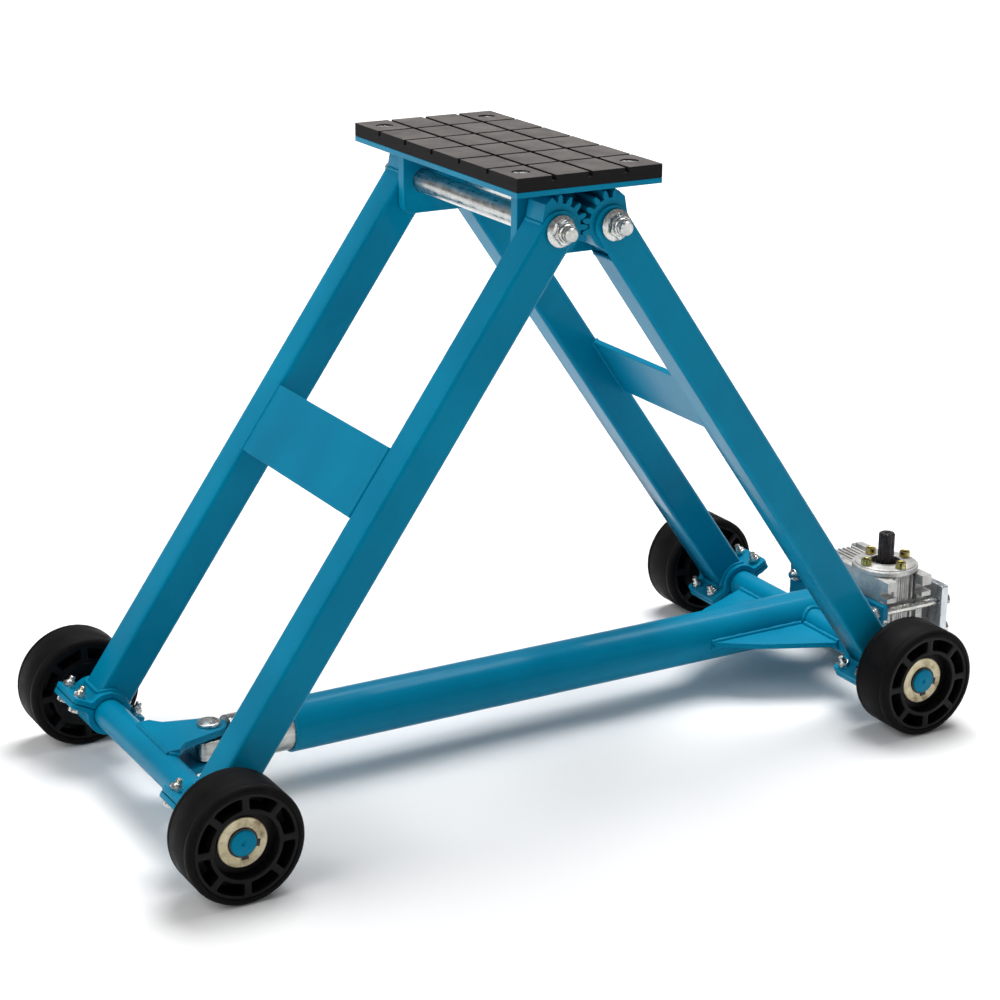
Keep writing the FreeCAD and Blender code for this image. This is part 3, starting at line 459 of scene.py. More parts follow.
def broken_edges(mesh, width, steps=2):
    """Bevels the sharp edges of a mesh, as a deburring file or a thick coat of paint does."""
    bench = bpy.data.objects.new("bench", mesh)
    bpy.context.scene.collection.objects.link(bench)
    bevel = bench.modifiers.new("edges", "BEVEL")
    bevel.width = width * MM
    bevel.segments = steps
    bevel.limit_method = "ANGLE"
    bevel.angle_limit = math.radians(30)
    bevel.harden_normals = True
    bevel.use_clamp_overlap = False
    bpy.context.view_layer.update()
    graph = bpy.context.evaluated_depsgraph_get()
    result = bpy.data.meshes.new_from_object(bench.evaluated_get(graph), preserve_all_data_layers=True,
                                             depsgraph=graph)
    bpy.data.objects.remove(bench)
    bpy.data.meshes.remove(mesh)
    return result


def softened(node, width):
    """A cleaned copy of an engineering node with its sharp edges broken."""
    shape = bmesh.new()
    shape.from_mesh(frame["nodes"][node].data)
    bmesh.ops.remove_doubles(shape, verts=shape.verts, dist=0.002 * MM)
    bmesh.ops.dissolve_limit(shape, angle_limit=math.radians(0.6), verts=shape.verts, edges=shape.edges)
    return broken_edges(to_mesh(shape, node), width)


def arc_points(radius, first, last, x=0.0, y=0.0, count=12):
    """Points on an arc between two angles in degrees."""
    turns = [math.radians(first + (last - first) * index / count) for index in range(count + 1)]
    return [(x + radius * math.cos(turn), y + radius * math.sin(turn)) for turn in turns]


def square_section(half, corner):
    """Points round a rounded square, closed."""
    points = []
    for quarter in range(4):
        middle = quarter * 90 + 45
        x = math.copysign(half - corner, math.cos(math.radians(middle)))
        y = math.copysign(half - corner, math.sin(math.radians(middle)))
        points += arc_points(corner, quarter * 90, quarter * 90 + 90, x, y, 6)
    return points + points[:1]


def densified(points, step=1.0):
    """The same polyline with more points, so that it can be bent."""
    dense = [points[0]]
    for first, last in zip(points, points[1:]):
        parts = max(1, int(math.dist(first, last) / step))
        for index in range(1, parts + 1):
            dense.append(tuple(a + (b - a) * index / parts for a, b in zip(first, last)))
    return dense


# %% [markdown]
# ## Plates, legs and castings
#
# These keep the exact shape of the engineering model. A laser-cut plate has nearly sharp edges, a
# casting has round ones, so each piece is given the edge break that its making leaves.

# %% Break the edges
EDGE_BREAKS = {
    "saddle_plate": 0.5, "rubber_pad": 0.5, "pad_screws": 0.25,
    "saddle_cheek_front": 0.8, "saddle_cheek_rear": 0.8,
    "drive_axle_gussets": 0.6, "clevis_plates": 0.8, "tube_tongue": 0.7,
    "gearbox_mount_plate": 1.0, "gearbox_clamp_plate": 0.8, "gearbox_housing": 0.5,
    "drive_axle_circlips": 0.15, "slide_axle_circlips": 0.15,
}
for end in INWARD:
    EDGE_BREAKS[f"{end}_leg_web"] = 0.6
    for side in SIDES:
        EDGE_BREAKS[f"{end}_leg_{side}"] = 0.5
        EDGE_BREAKS[f"{end}_gear_{side}"] = 0.35
OWN_FINISH = {"gearbox_clamp_plate": plate_zinc, "tube_tongue": tube_zinc}
for node, width in EDGE_BREAKS.items():
    stand_in(softened(node, width), node, OWN_FINISH.get(node))
print("edges broken on", len(EDGE_BREAKS), "pieces")

# %% [markdown]
# ## Tubes, axles and shafts
#
# All of these are turned. The drive axle is welded to the lift tube, so its inner ends are
# cut to the tube's curve: the first ring of the profile is pushed onto the tube's cylinder.

# %% Tubes
low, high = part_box("outer_tube")
TUBE_RADIUS = (high.y - low.y) / 2 / MM
TUBE_BORE = 20.8
length = (high.x - low.x) / MM
profile = [(TUBE_BORE, 0.6), (TUBE_BORE + 0.5, 0), (TUBE_RADIUS - 0.6, 0), (TUBE_RADIUS, 0.6),
           (TUBE_RADIUS, length), (TUBE_BORE, length)]
tube_place = along_axis(Vector((low.x, 0, centre("outer_tube").z)), (1, 0, 0))
stand_in(to_mesh(placed(turned(profile, 160), tube_place), "tube"), "outer_tube")

low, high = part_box("inner_tube")
INNER_RADIUS = (high.y - low.y) / 2 / MM
length = (high.x - low.x) / MM
profile = [(17, 0), (INNER_RADIUS - 0.4, 0), (INNER_RADIUS, 0.4), (INNER_RADIUS, length), (17, length)]
inner_place = along_axis(Vector((low.x, 0, centre("inner_tube").z)), (1, 0, 0))
stand_in(to_mesh(placed(turned(profile, 144), inner_place), "tube"), "inner_tube", tube_zinc)
print("lift tube", round(TUBE_RADIUS * 2, 1), "mm, sliding tube", round(INNER_RADIUS * 2, 1), "mm")

# %% Axles
AXLE_RADIUS = (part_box("slide_axle")[1].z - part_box("slide_axle")[0].z) / 2 / MM
STUB_RADIUS = 11
STUB_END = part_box("slide_axle")[1].y / MM
SHOULDER = 149.2
CLIP_Y = 184.5
outer_half = [(AXLE_RADIUS, SHOULDER - 0.5), (AXLE_RADIUS - 0.5, SHOULDER), (STUB_RADIUS, SHOULDER + 0.1),
              (STUB_RADIUS, CLIP_Y), (STUB_RADIUS - 0.9, CLIP_Y), (STUB_RADIUS - 0.9, CLIP_Y + 1.4),
              (STUB_RADIUS, CLIP_Y + 1.4), (STUB_RADIUS, STUB_END - 1), (STUB_RADIUS - 0.3, STUB_END - 0.4),
              (STUB_RADIUS - 1, STUB_END), (2.2, STUB_END), (1.2, STUB_END - 1.2), (0, STUB_END - 1.4)]
mirrored = [(radius, -height) for radius, height in reversed(outer_half)]
slide_bar = placed(turned(mirrored + outer_half, 120), along_axis(axle_at["slide"], (0, 1, 0)))
stand_in(to_mesh(slide_bar, "axle"), "slide_axle")

halves = []
for out in SIDES.values():
    half = turned([(0, 15), (AXLE_RADIUS, 15), *outer_half], 120)
    half.verts.ensure_lookup_table()
    for vert in half.verts:
        if vert.co.z < 15.1:
            across = math.copysign(1, out) * vert.co.y
            vert.co.z = math.sqrt(TUBE_RADIUS ** 2 - across ** 2) - 0.4
    halves.append(placed(half, along_axis(axle_at["drive"], (0, out, 0))))
stand_in(to_mesh(joined(halves), "axle"), "drive_axle")
print("axles", round(AXLE_RADIUS * 2, 1), "mm with", STUB_RADIUS * 2, "mm stubs")

# %% [markdown]
# The two hinge shafts carry the saddle. Each ends in a thread for a flange nut, so the profile
# has one tooth of thread per pitch where the nut leaves it visible.

# %% Hinge shafts


def thread(radius, start, end, pitch):
    """Profile points of a thread, one crest for each pitch."""
    depth = 0.55 * pitch
    points = []
    for index in range(int((end - start) / pitch)):
        base = start + index * pitch
        points += [(radius - depth, base), (radius - 0.08 * pitch, base + 0.4 * pitch),
                   (radius - 0.08 * pitch, base + 0.6 * pitch)]
    return points


SHAFT_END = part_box("slide_hinge_shaft")[1].y / MM
SHAFT_RADIUS = 10
SHAFT_SHOULDER = 137.5
half = [(SHAFT_RADIUS, SHAFT_SHOULDER - 0.6), (SHAFT_RADIUS - 0.6, SHAFT_SHOULDER), (5.9, SHAFT_SHOULDER),
        *thread(6, SHAFT_SHOULDER + 10, SHAFT_END - 1.4, 1.75), (5.9, SHAFT_END - 1.2), (4.9, SHAFT_END),
        (0, SHAFT_END)]
profile = [(radius, -height) for radius, height in reversed(half)] + half
for end in INWARD:
    shaft = placed(turned(profile, 96), along_axis(pin_at[end], (0, 1, 0)))
    stand_in(to_mesh(shaft, "shaft"), f"{end}_hinge_shaft", shaft_zinc)
print("hinge shafts to", round(SHAFT_END, 1), "mm each side")

# %% [markdown]
# The clevis pin is a plain round pin with a domed head, pushed down through the two clevis plates.

# %% Clevis pin
low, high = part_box("clevis_pin")
length = (high.z - low.z) / MM
profile = [(0, 0), (7, 0), (8, 1), (8, length - 3.4), (9.4, length - 3.4), (10, length - 2.8),
           (10, length - 1), (9.5, length - 0.35), (8.6, length - 0.05), (0, length)]
pin_place = along_axis(Vector((centre("clevis_pin").x, 0, low.z)), (0, 0, 1))
stand_in(to_mesh(placed(turned(profile, 72), pin_place), "pin"), "clevis_pin")

# %% [markdown]
# ## Wheels
#
# A tyre is a turned rubber band with round shoulders and a small moulding ridge beside each. The
# washer outside each hub is stamped, so one edge is rolled and the other is sharp.

# %% Tyres and washers
WHEEL_IN = 149.7
WHEEL_OUT = 193.7
TREAD = axle_at["slide"].z / MM


def shoulder(height, away):
    """Round tyre shoulder, from the tread to the side wall."""
    turns = [index * math.pi / 2 / 8 for index in range(9)]
    return [(TREAD - 5 + 5 * math.cos(turn), height - away * 5 + away * 5 * math.sin(turn)) for turn in turns]


tyre_profile = [(44.05, WHEEL_IN), (44.8, WHEEL_IN)]
tyre_profile += [(45.0, WHEEL_IN), *reversed(shoulder(WHEEL_IN, -1))]
tyre_profile += [(TREAD, WHEEL_IN + 7), (TREAD - 0.25, WHEEL_IN + 7.4), (TREAD, WHEEL_IN + 7.8)]
tyre_profile += [(TREAD, WHEEL_OUT - 7.8), (TREAD - 0.25, WHEEL_OUT - 7.4), (TREAD, WHEEL_OUT - 7)]
tyre_profile += [*shoulder(WHEEL_OUT, 1), (44.8, WHEEL_OUT), (44.05, WHEEL_OUT - 0.6)]
WASHER_SEAT = 182.6
washer_profile = [(12.25, 0), (20.6, 0), (21, 0.4), (21, 1.4), (20.4, 1.9), (12.7, 1.9), (12.25, 1.5)]
for end in INWARD:
    rings = []
    for side, out in SIDES.items():
        tyre = placed(turned(tyre_profile, 160), along_axis(axle_at[end], (0, out, 0)))
        stand_in(to_mesh(tyre, "tyre"), f"{end}_tyre_{side}")
        spot = axle_at[end] + Vector((0, out * WASHER_SEAT * MM, 0))
        rings.append(placed(turned(washer_profile, 72), along_axis(spot, (0, out, 0))))
    stand_in(to_mesh(joined(rings), "washers"), f"{end}_axle_washers")
print("four tyres of", round(TREAD * 2), "mm")

# %% [markdown]
# A hub has eight pockets in each face, between ribs of even width. Every pocket is a stack of
# outlines, each one the same unit square bent into a sector, so the lip and the floor are rounded.

# %% Wheel hubs
POCKETS = 8
SHARE = math.pi / POCKETS
POCKET_MIDDLE = 36
POCKET_HALF = 5
RIB_HALF = 3
LIP = 0.4
HUB_RIM = 44
HUB_RECESS = 27.5
HUB_BORE = 11.05
HUB_FACE = 182.5
HUB_IN = WHEEL_IN + 1
HUB_OUT = WHEEL_OUT - 1
UNIT_SQUARE = densified(square_section(1.0, 0.25), 0.12)[:-1]


def pocket_ring(inset, height):
    """Outline of a pocket as (radius, angle, height); inset makes it smaller all round."""
    ring = []
    for u, v in UNIT_SQUARE:
        radius = POCKET_MIDDLE + v * (POCKET_HALF - inset)
        ring.append((radius, u * (SHARE - math.asin((RIB_HALF + inset) / radius)), height))
    return ring


def share_ring(height):
    """Border of the part of the face that belongs to one pocket."""
    middle = (HUB_RIM + HUB_RECESS) / 2
    half = (HUB_RIM - HUB_RECESS) / 2 - LIP
    ring = []
    for u, v in UNIT_SQUARE:
        reach = max(abs(u), abs(v))
        ring.append((middle + half * v / reach, SHARE * u / reach, height))
    return ring


def grid(shape, columns, closed=False):
    """Quads between neighbouring columns of (radius, angle, height) points."""
    made = [[shape.verts.new((radius * math.cos(turn), radius * math.sin(turn), height))
             for radius, turn, height in column] for column in columns]
    for left, right in zip(made, made[1:]):
        for row in range(0 if closed else 1, len(left)):
            shape.faces.new((left[row - 1], left[row], right[row], right[row - 1]))
    return made


def wheel_hub():
    """Hub about Z, from its inner face to its outer one."""
    shape = bmesh.new()
    rim = [(HUB_RIM - LIP, HUB_OUT), (HUB_RIM, HUB_OUT - LIP), (HUB_RIM, HUB_IN + LIP),
           (HUB_RIM - LIP, HUB_IN)]
    core = [(HUB_RECESS + LIP, HUB_OUT), (HUB_RECESS, HUB_OUT - LIP), (HUB_RECESS, HUB_FACE),
            (HUB_BORE + LIP, HUB_FACE), (HUB_BORE, HUB_FACE - LIP), (HUB_BORE, WHEEL_IN + 0.2),
            (HUB_RECESS, WHEEL_IN + 0.2), (HUB_RECESS + LIP, HUB_IN)]
    for index in range(POCKETS):
        middle = (2 * index + 1) * SHARE
        for face, step, depth in ((HUB_OUT, -1, 18), (HUB_IN, 1, 15)):
            levels = [(-0.5, 0), (-0.15, 0.15), (0, 0.5), (0.4, depth - 1.5), (0.85, depth - 0.45),
                      (1.9, depth)]
            rings = [share_ring(face)] + [pocket_ring(inset, face + step * down) for inset, down in levels]
            columns = [[(radius, turn + middle, height) for radius, turn, height in ring] for ring in rings]
            shape.faces.new(grid(shape, columns, closed=True)[-1])
        border = share_ring(0)
        for profile in (rim, core):
            turns = sorted(turn for radius, turn, height in border if abs(radius - profile[0][0]) < 0.001)
            grid(shape, [[(radius, turn + middle, height) for radius, height in profile] for turn in turns])
    bmesh.ops.remove_doubles(shape, verts=shape.verts, dist=0.002)
    return shape


for end in INWARD:
    for side, out in SIDES.items():
        hub = placed(wheel_hub(), along_axis(axle_at[end], (0, out, 0)))
        stand_in(to_mesh(hub, "hub"), f"{end}_wheel_hub_{side}")
print("hubs with", POCKETS, "pockets in each face")

# %% [markdown]
# ## Bearings of the leg frames
#
# Each leg stands on a split bearing pressed from thick strip: half a ring that sweeps out into two
# ears. The outline is drawn once with its fillets as arcs, padded along the axle, and
# the ears' corners are rounded before every edge is broken.

# %% Bearing halves
BEARING_BORE = 13.65
BEARING_OUTER = 19.25
EAR_REACH = 35.5
EAR_THICK = 5.0
EAR_FILLET = 5.0
SPLIT_GAP = 0.3
BEARING_WIDTH = 46.0
EAR_TILT = math.radians(27)


def bearing_outline():
    """Upper half of the strip, ring and ears, with its fillets."""
    rise = EAR_THICK + EAR_FILLET
    spread = math.sqrt((BEARING_OUTER + EAR_FILLET) ** 2 - rise ** 2)
    touch = math.degrees(math.atan2(rise, spread))
    low = math.degrees(math.asin(SPLIT_GAP / BEARING_BORE))
    points = [(EAR_REACH, SPLIT_GAP), (EAR_REACH, EAR_THICK)]
    points += arc_points(EAR_FILLET, 270, 180 + touch, spread, rise, 8)
    points += arc_points(BEARING_OUTER, touch, 180 - touch, count=36)[1:-1]
    points += arc_points(EAR_FILLET, -touch, -90, -spread, rise, 8)
    points += [(-EAR_REACH, EAR_THICK), (-EAR_REACH, SPLIT_GAP)]
    return points + arc_points(BEARING_BORE, 180 - low, low, count=36)


def bearing_half(up):
    """One half in local millimetres: ears along X, ring about Y."""
    shape = bmesh.new()
    verts = [shape.verts.new((x, -BEARING_WIDTH / 2, up * z)) for x, z in bearing_outline()]
    face = shape.faces.new(verts)
    made = bmesh.ops.extrude_face_region(shape, geom=[face])["geom"]
    moved = [one for one in made if isinstance(one, bmesh.types.BMVert)]
    bmesh.ops.translate(shape, vec=(0, BEARING_WIDTH, 0), verts=moved)
    corners = [edge for edge in shape.edges
               if all(abs(abs(vert.co.x) - EAR_REACH) < 0.01 for vert in edge.verts)
               and abs(edge.verts[0].co.z - edge.verts[1].co.z) > 1]
    bmesh.ops.bevel(shape, geom=corners, offset=4, segments=5, profile=0.5, affect="EDGES")
    return shape


def bearing_place(end, side):
    turn = Matrix.Rotation(INWARD[end] * EAR_TILT, 4, "Y")
    at = axle_at[end] + Vector((0, SIDES[side] * LEG_Y, 0))
    return Matrix.Translation(at) @ turn @ Matrix.Scale(MM, 4)


for end in INWARD:
    for up, node in ((1, f"{end}_bearing_shells"), (-1, f"{end}_bearing_caps")):
        pair = joined([placed(bearing_half(up), bearing_place(end, side)) for side in SIDES])
        stand_in(broken_edges(to_mesh(pair, "bearing"), 0.9, 3), node)
print("bearing strips", BEARING_WIDTH, "mm wide with ears to", EAR_REACH, "mm")

# %% [markdown]
# ## Fasteners
#
# The stand has dozens of nuts, bolts and screws. Each kind is turned once, with a trim that
# cuts its flats, and a Geometry Nodes tree then sets it on every seat: a seat is a point with an
# axis, and each one gets its own chance turn, as a spanner leaves it.

# %% The tree that sets fasteners


def new_tree(name, inputs):
    """A geometry tree with named inputs; returns its board and the wires of the inputs."""
    tree = bpy.data.node_groups.new(name, "GeometryNodeTree")
    tree.interface.new_socket("Geometry", in_out="OUTPUT", socket_type="NodeSocketGeometry")
    for label, kind in {"Geometry": "Geometry", **inputs}.items():
        tree.interface.new_socket(label, in_out="INPUT", socket_type="NodeSocket" + kind)
    board = Board(tree)
    start = board.node("NodeGroupInput")
    return board, {label: start.out(label) for label in ("Geometry", *inputs)}


def close_tree(board, shape, finish):
    """Realize, give the finish and end the tree."""
    real = board.node("GeometryNodeRealizeInstances", None, {"Geometry": shape})
    coated = board.node("GeometryNodeSetMaterial", None, {"Geometry": real, "Material": finish})
    board.node("NodeGroupOutput", None, {"Geometry": coated})
    return board.tree


def fastener_tree():
    board, given = new_tree("set_fasteners", {"Fastener": "Object", "Chance Turn": "Float", "Seed": "Int",
                                              "Finish": "Material"})
    axis = board.node("GeometryNodeInputNamedAttribute", {"data_type": "FLOAT_VECTOR"}, {"Name": "seat_axis"})
    stand = board.node("FunctionNodeAlignRotationToVector", {"axis": "Z"}, {"Vector": axis})
    chance = board.node("FunctionNodeRandomValue", {"data_type": "FLOAT"},
                        {"Min_001": 0.0, "Max_001": given["Chance Turn"], "Seed": given["Seed"]}, "Value_001")
    spin = board.node("FunctionNodeAxisAngleToRotation", None, {"Axis": (0, 0, 1), "Angle": chance})
    turn = board.node("FunctionNodeRotateRotation", {"rotation_space": "LOCAL"},
                      {"Rotation": stand, "Rotate By": spin})
    source = board.node("GeometryNodeObjectInfo", None, {"Object": given["Fastener"]}, "Geometry")
    shapes = board.node("GeometryNodeInstanceOnPoints", None,
                        {"Points": given["Geometry"], "Instance": source, "Rotation": turn})
    return close_tree(board, shapes, given["Finish"])


def grown(mesh, tree, values):
    """Runs a tree on a mesh and returns the plain mesh it makes."""
    bench = bpy.data.objects.new("bench", mesh)
    bpy.context.scene.collection.objects.link(bench)
    grower = bench.modifiers.new("grow", "NODES")
    grower.node_group = tree
    for item in tree.interface.items_tree:
        if item.in_out == "INPUT" and item.name in values:
            grower[item.identifier] = values[item.name]
    bpy.context.view_layer.update()
    graph = bpy.context.evaluated_depsgraph_get()
    result = bpy.data.meshes.new_from_object(bench.evaluated_get(graph), depsgraph=graph)
    bench.modifiers.clear()
    bpy.data.objects.remove(bench)
    bpy.data.meshes.remove(mesh)
    return result


set_fasteners = fastener_tree()


def fasteners(kind, seats, node, seed):
    """Sets one kind of fastener, a bmesh in millimetres, on (point, axis) seats."""
    master = bpy.data.objects.new("master", to_mesh(placed(kind, Matrix.Scale(MM, 4)), "master"))
    bpy.context.scene.collection.objects.link(master)
    points = bpy.data.meshes.new("seats")
    points.from_pydata([tuple(at) for at, axis in seats], [], [])
    axes = points.attributes.new("seat_axis", "FLOAT_VECTOR", "POINT")
    for index, (at, axis) in enumerate(seats):
        axes.data[index].vector = axis
    coat = FINISH[slot_of[node]]
    mesh = grown(points, set_fasteners,
                 {"Fastener": master, "Chance Turn": math.tau, "Seed": seed, "Finish": coat})
    bpy.data.objects.remove(master)
    stand_in(mesh, node, coat)
    print(f"{node}: {len(seats)} pieces, {len(mesh.polygons)} faces")


# %% [markdown]
# A nut is a ring of hexagon stock. Turning its corners gives the curved chamfer that catches the
# light, and a lock nut carries a round collar that grips the thread.

# %% Kinds of nut and bolt
HEX_STEPS = 48


def hexagon(flats):
    """Trim for hexagon stock of a width across flats."""
    def trim(radius, angle):
        within = (angle + math.pi / 6) % (math.pi / 3) - math.pi / 6
        return min(radius, flats / 2 / math.cos(within))
    return trim


def lock_nut(flats, bore, height, collar):
    """Hexagon lock nut: a chamfered hexagon below, a rolled collar above."""
    corner = flats / math.sqrt(3)
    top = height * 0.66
    profile = [(bore, 0), (corner * 0.9, 0, 1), (corner, corner * 0.07, 1),
               (corner + 0.1, top - corner * 0.09, 1), (corner * 0.9, top, 1), (collar, top + 0.1),
               (collar, height - 0.9), (collar - 0.35, height - 0.3), (collar - 1, height),
               (bore + 0.3, height), (bore, height - 0.3)]
    return turned(profile, HEX_STEPS, hexagon(flats))


def flange_nut(flats, bore, height, flange):
    """Hexagon nut on a sloping flange, with a domed collar."""
    corner = flats / math.sqrt(3)
    top = height * 0.72
    profile = [(bore, 0), (flange - 0.4, 0), (flange, 0.4), (flange, 1.3), (flange - 0.5, 1.8),
               (corner * 0.97, 3.1, 1), (corner + 0.1, 3.6, 1), (corner + 0.1, top - 1.4, 1),
               (corner * 0.95, top - 0.5, 1), (corner * 0.86, top, 1), (7.9, top + 0.1),
               (7.9, height - 1.5), (7.6, height - 0.6), (6.9, height), (bore + 0.4, height),
               (bore, height - 0.4)]
    return turned(profile, HEX_STEPS * 2, hexagon(flats))


def hex_bolt(flats, head, radius, length, threaded, pitch):
    """Bolt whose seat is under the head: the head rises along Z and the shank goes down."""
    corner = flats / math.sqrt(3)
    down = [(radius - 0.7 * pitch, -length), (radius, -length + 0.7 * pitch)]
    crests = thread(radius, -length + pitch, -length + threaded, pitch)
    profile = [(0, -length), *down, *crests, (radius, -length + threaded), (radius, 0),
               (corner * 0.9, 0, 1), (corner + 0.1, corner * 0.05, 1),
               (corner + 0.1, head - corner * 0.1, 1), (corner * 0.86, head, 1), (0, head)]
    return turned(profile, HEX_STEPS, hexagon(flats))


# %% Clamp bolts and nuts of the bearings
BOLT_REACH = 28.0
BOLT_SPACING = 26.0


def ear_seats(end, height, up):
    """Seats on the ears of one leg frame: height above the split plane, axis up or down."""
    seats = []
    for side in SIDES:
        matrix = bearing_place(end, side)
        axis = (matrix.to_3x3() @ Vector((0, 0, up))).normalized()
        for x in (-BOLT_REACH, BOLT_REACH):
            for y in (-BOLT_SPACING / 2, BOLT_SPACING / 2):
                seats.append((matrix @ Vector((x, y, height)), axis))
    return seats


for seed, end in enumerate(INWARD):
    fasteners(hex_bolt(10, 4, 2.95, 20, 11, 1.0), ear_seats(end, -EAR_THICK, -1), f"{end}_clamp_bolts", seed)
    fasteners(lock_nut(10, 3.05, 6.2, 4.2), ear_seats(end, EAR_THICK, 1), f"{end}_clamp_nuts", seed + 5)

# %% Hinge nuts
hinge_seats = [(pin_at[end] + Vector((0, out * (SHAFT_SHOULDER + 0.1) * MM, 0)), Vector((0, out, 0)))
               for end in INWARD for out in SIDES.values()]
fasteners(flange_nut(18, 6.05, 12, 13), hinge_seats, "hinge_nuts", 11)

# %% [markdown]
# Four long bolts clamp the gearbox between two plates. Their heads sit outside the loose
# plate, and the nuts are inside the welded one.

# %% Long bolts of the gearbox
plate_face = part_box("gearbox_clamp_plate")[1].x
nut_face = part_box("gearbox_mount_plate")[0].x
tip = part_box("gearbox_long_bolts")[0].x
spots = [(y, z) for y in (-62 * MM, 62 * MM) for z in (-14 * MM, 14 * MM)]
long_length = (plate_face - tip) / MM
head_seats = [(Vector((plate_face, y, axle_at["drive"].z + z)), Vector((1, 0, 0))) for y, z in spots]
nut_seats = [(Vector((nut_face, y, axle_at["drive"].z + z)), Vector((-1, 0, 0))) for y, z in spots]
fasteners(hex_bolt(13, 5.3, 3.95, long_length, 22, 1.25), head_seats, "gearbox_long_bolts", 21)
fasteners(lock_nut(13, 4.05, 6.5, 5.6), nut_seats, "gearbox_nuts", 22)

# %% [markdown]
# ## Input of the gearbox
#
# A drill or a wrench drives the vertical splined shaft. It comes up through a round bearing flange
# with a rubber lip seal, which four socket screws hold down.

# %% Input flange and seal
flange_low, flange_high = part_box("input_flange")
flange_at = Vector((centre("input_flange").x, centre("input_flange").y, flange_low.z))
FLANGE_RADIUS = (flange_high.x - flange_low.x) / 2 / MM
profile = [(9, 0), (FLANGE_RADIUS - 1, 0), (FLANGE_RADIUS, 1), (FLANGE_RADIUS, 4.2), (FLANGE_RADIUS - 0.8, 5),
           (29.2, 5.2), (28.6, 6.3), (28, 6.5), (17.4, 6.5), (16.6, 6.7), (15.9, 7.7), (15.3, 7.7),
           (14.6, 7.2), (14.2, 4.8), (9, 4.8)]
flange = placed(turned(profile, 120), along_axis(flange_at, (0, 0, 1)))
stand_in(to_mesh(flange, "flange"), "input_flange")

profile = [(9.1, 4.9), (14, 4.9), (14, 6.4), (13.4, 6.8), (12.2, 6.8), (11.6, 6.0), (10, 5.9),
           (9.3, 6.9), (8.7, 6.9), (8.3, 6.2)]
seal = placed(turned(profile, 96), along_axis(flange_at, (0, 0, 1)))
show(to_mesh(seal, "seal"), "input_shaft_seal", "base", tyre_rubber)

# %% Splined input shaft
SPLINES = 13
shaft_low, shaft_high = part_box("worm_shaft")
shaft_at = Vector((flange_at.x, flange_at.y, shaft_low.z))
top = (shaft_high.z - shaft_low.z) / MM


def spline_trim(radius, angle):
    """Every second stretch of the rim is milled away."""
    wave = math.cos(SPLINES * angle)
    return radius - 0.75 * min(1, max(0, 0.5 - 2.2 * wave))


worm_mid = (axle_at["drive"].z - shaft_low.z) / MM
spline_start = (flange_at.z - shaft_low.z) / MM + 7
profile = [(0, 0), (7.5, 0), (7.7, 0.3), (7.7, worm_mid - 18), (8.7, worm_mid - 18), (8.7, worm_mid + 18),
           (7.7, worm_mid + 18), (7.7, spline_start), (7.7, spline_start + 0.5, 1), (7.7, top - 1.2, 1),
           (6.8, top - 0.2, 1), (6.5, top), (2.4, top), (1.4, top - 2), (0, top - 2.2)]
shaft = placed(turned(profile, SPLINES * 12, spline_trim), along_axis(shaft_at, (0, 0, 1)))
stand_in(to_mesh(shaft, "shaft"), "worm_shaft", black_steel)

# %% Socket screws of the flange


def socket_screw():
    """Round head with a hexagon socket: the trim shapes only the socket's wall."""
    profile = [(0, -6), (2.9, -6), (2.9, 0), (4.7, 0), (5, 0.3), (5, 5.3), (4.5, 5.9), (3.2, 5.9),
               (2.95, 5.6, 1), (2.9, 2.6, 1), (0, 2.4)]
    return turned(profile, HEX_STEPS, hexagon(5))


SCREW_CIRCLE = 23
screw_seats = []
for index in range(4):
    turn = math.radians(90 * index)
    offset = Vector((SCREW_CIRCLE * math.cos(turn), SCREW_CIRCLE * math.sin(turn), 6.5)) * MM
    screw_seats.append((flange_at + offset, Vector((0, 0, 1))))
fasteners(socket_screw(), screw_seats, "input_flange_bolts", 31)

# %% [markdown]
# ## Weld beads
#
# Every painted joint is fused by a bead of weld. A bead follows a seam, swells and thins, and
# carries a ripple for each puddle. The seams are drawn as polylines, worked out from the parts
# they join, and one Geometry Nodes tree lays a rippled bar along all the seams of a body.

# %% The tree that lays beads


def bead_tree():
    board, given = new_tree("lay_beads", {"Bead Radius": "Float", "Ripple Pitch": "Float",
                                          "Ripple Depth": "Float", "Seed": "Float", "Finish": "Material"})
    seam = board.node("GeometryNodeMeshToCurve", None, {"Mesh": given["Geometry"]})
    fine = board.node("GeometryNodeResampleCurve", {"mode": "LENGTH"},
                      {"Curve": seam, "Length": given["Ripple Pitch"] * 0.25})
    travelled = board.node("GeometryNodeSplineParameter", out="Length")
    phase = board.maths("DIVIDE", travelled, given["Ripple Pitch"])
    puddle = board.maths("ABSOLUTE", board.maths("SINE", phase * math.pi))
    where = board.node("GeometryNodeInputPosition")
    drift = board.node("ShaderNodeTexNoise", {"noise_dimensions": "4D"},
                       {"Vector": where, "W": given["Seed"], "Scale": 140.0, "Detail": 2.0}, "Fac")
    width = 1 + given["Ripple Depth"] * puddle + 0.9 * (drift - 0.5)
    ring = board.node("GeometryNodeCurvePrimitiveCircle", None,
                      {"Resolution": 12, "Radius": given["Bead Radius"]})
    bar = board.node("GeometryNodeCurveToMesh", None,
                     {"Curve": fine, "Profile Curve": ring, "Scale": width, "Fill Caps": True})
    smooth = board.node("GeometryNodeSetShadeSmooth", None, {"Geometry": bar})
    return close_tree(board, smooth, given["Finish"])


lay_beads = bead_tree()


def seam_mesh(seams):
    """Polylines, each a list of points in the shared frame, as one mesh of edges."""
    points = []
    edges = []
    for seam in seams:
        first = len(points)
        points += [tuple(point) for point in seam]
        edges += [(index, index + 1) for index in range(first, len(points) - 1)]
    mesh = bpy.data.meshes.new("seams")
    mesh.from_pydata(points, edges, [])
    return mesh


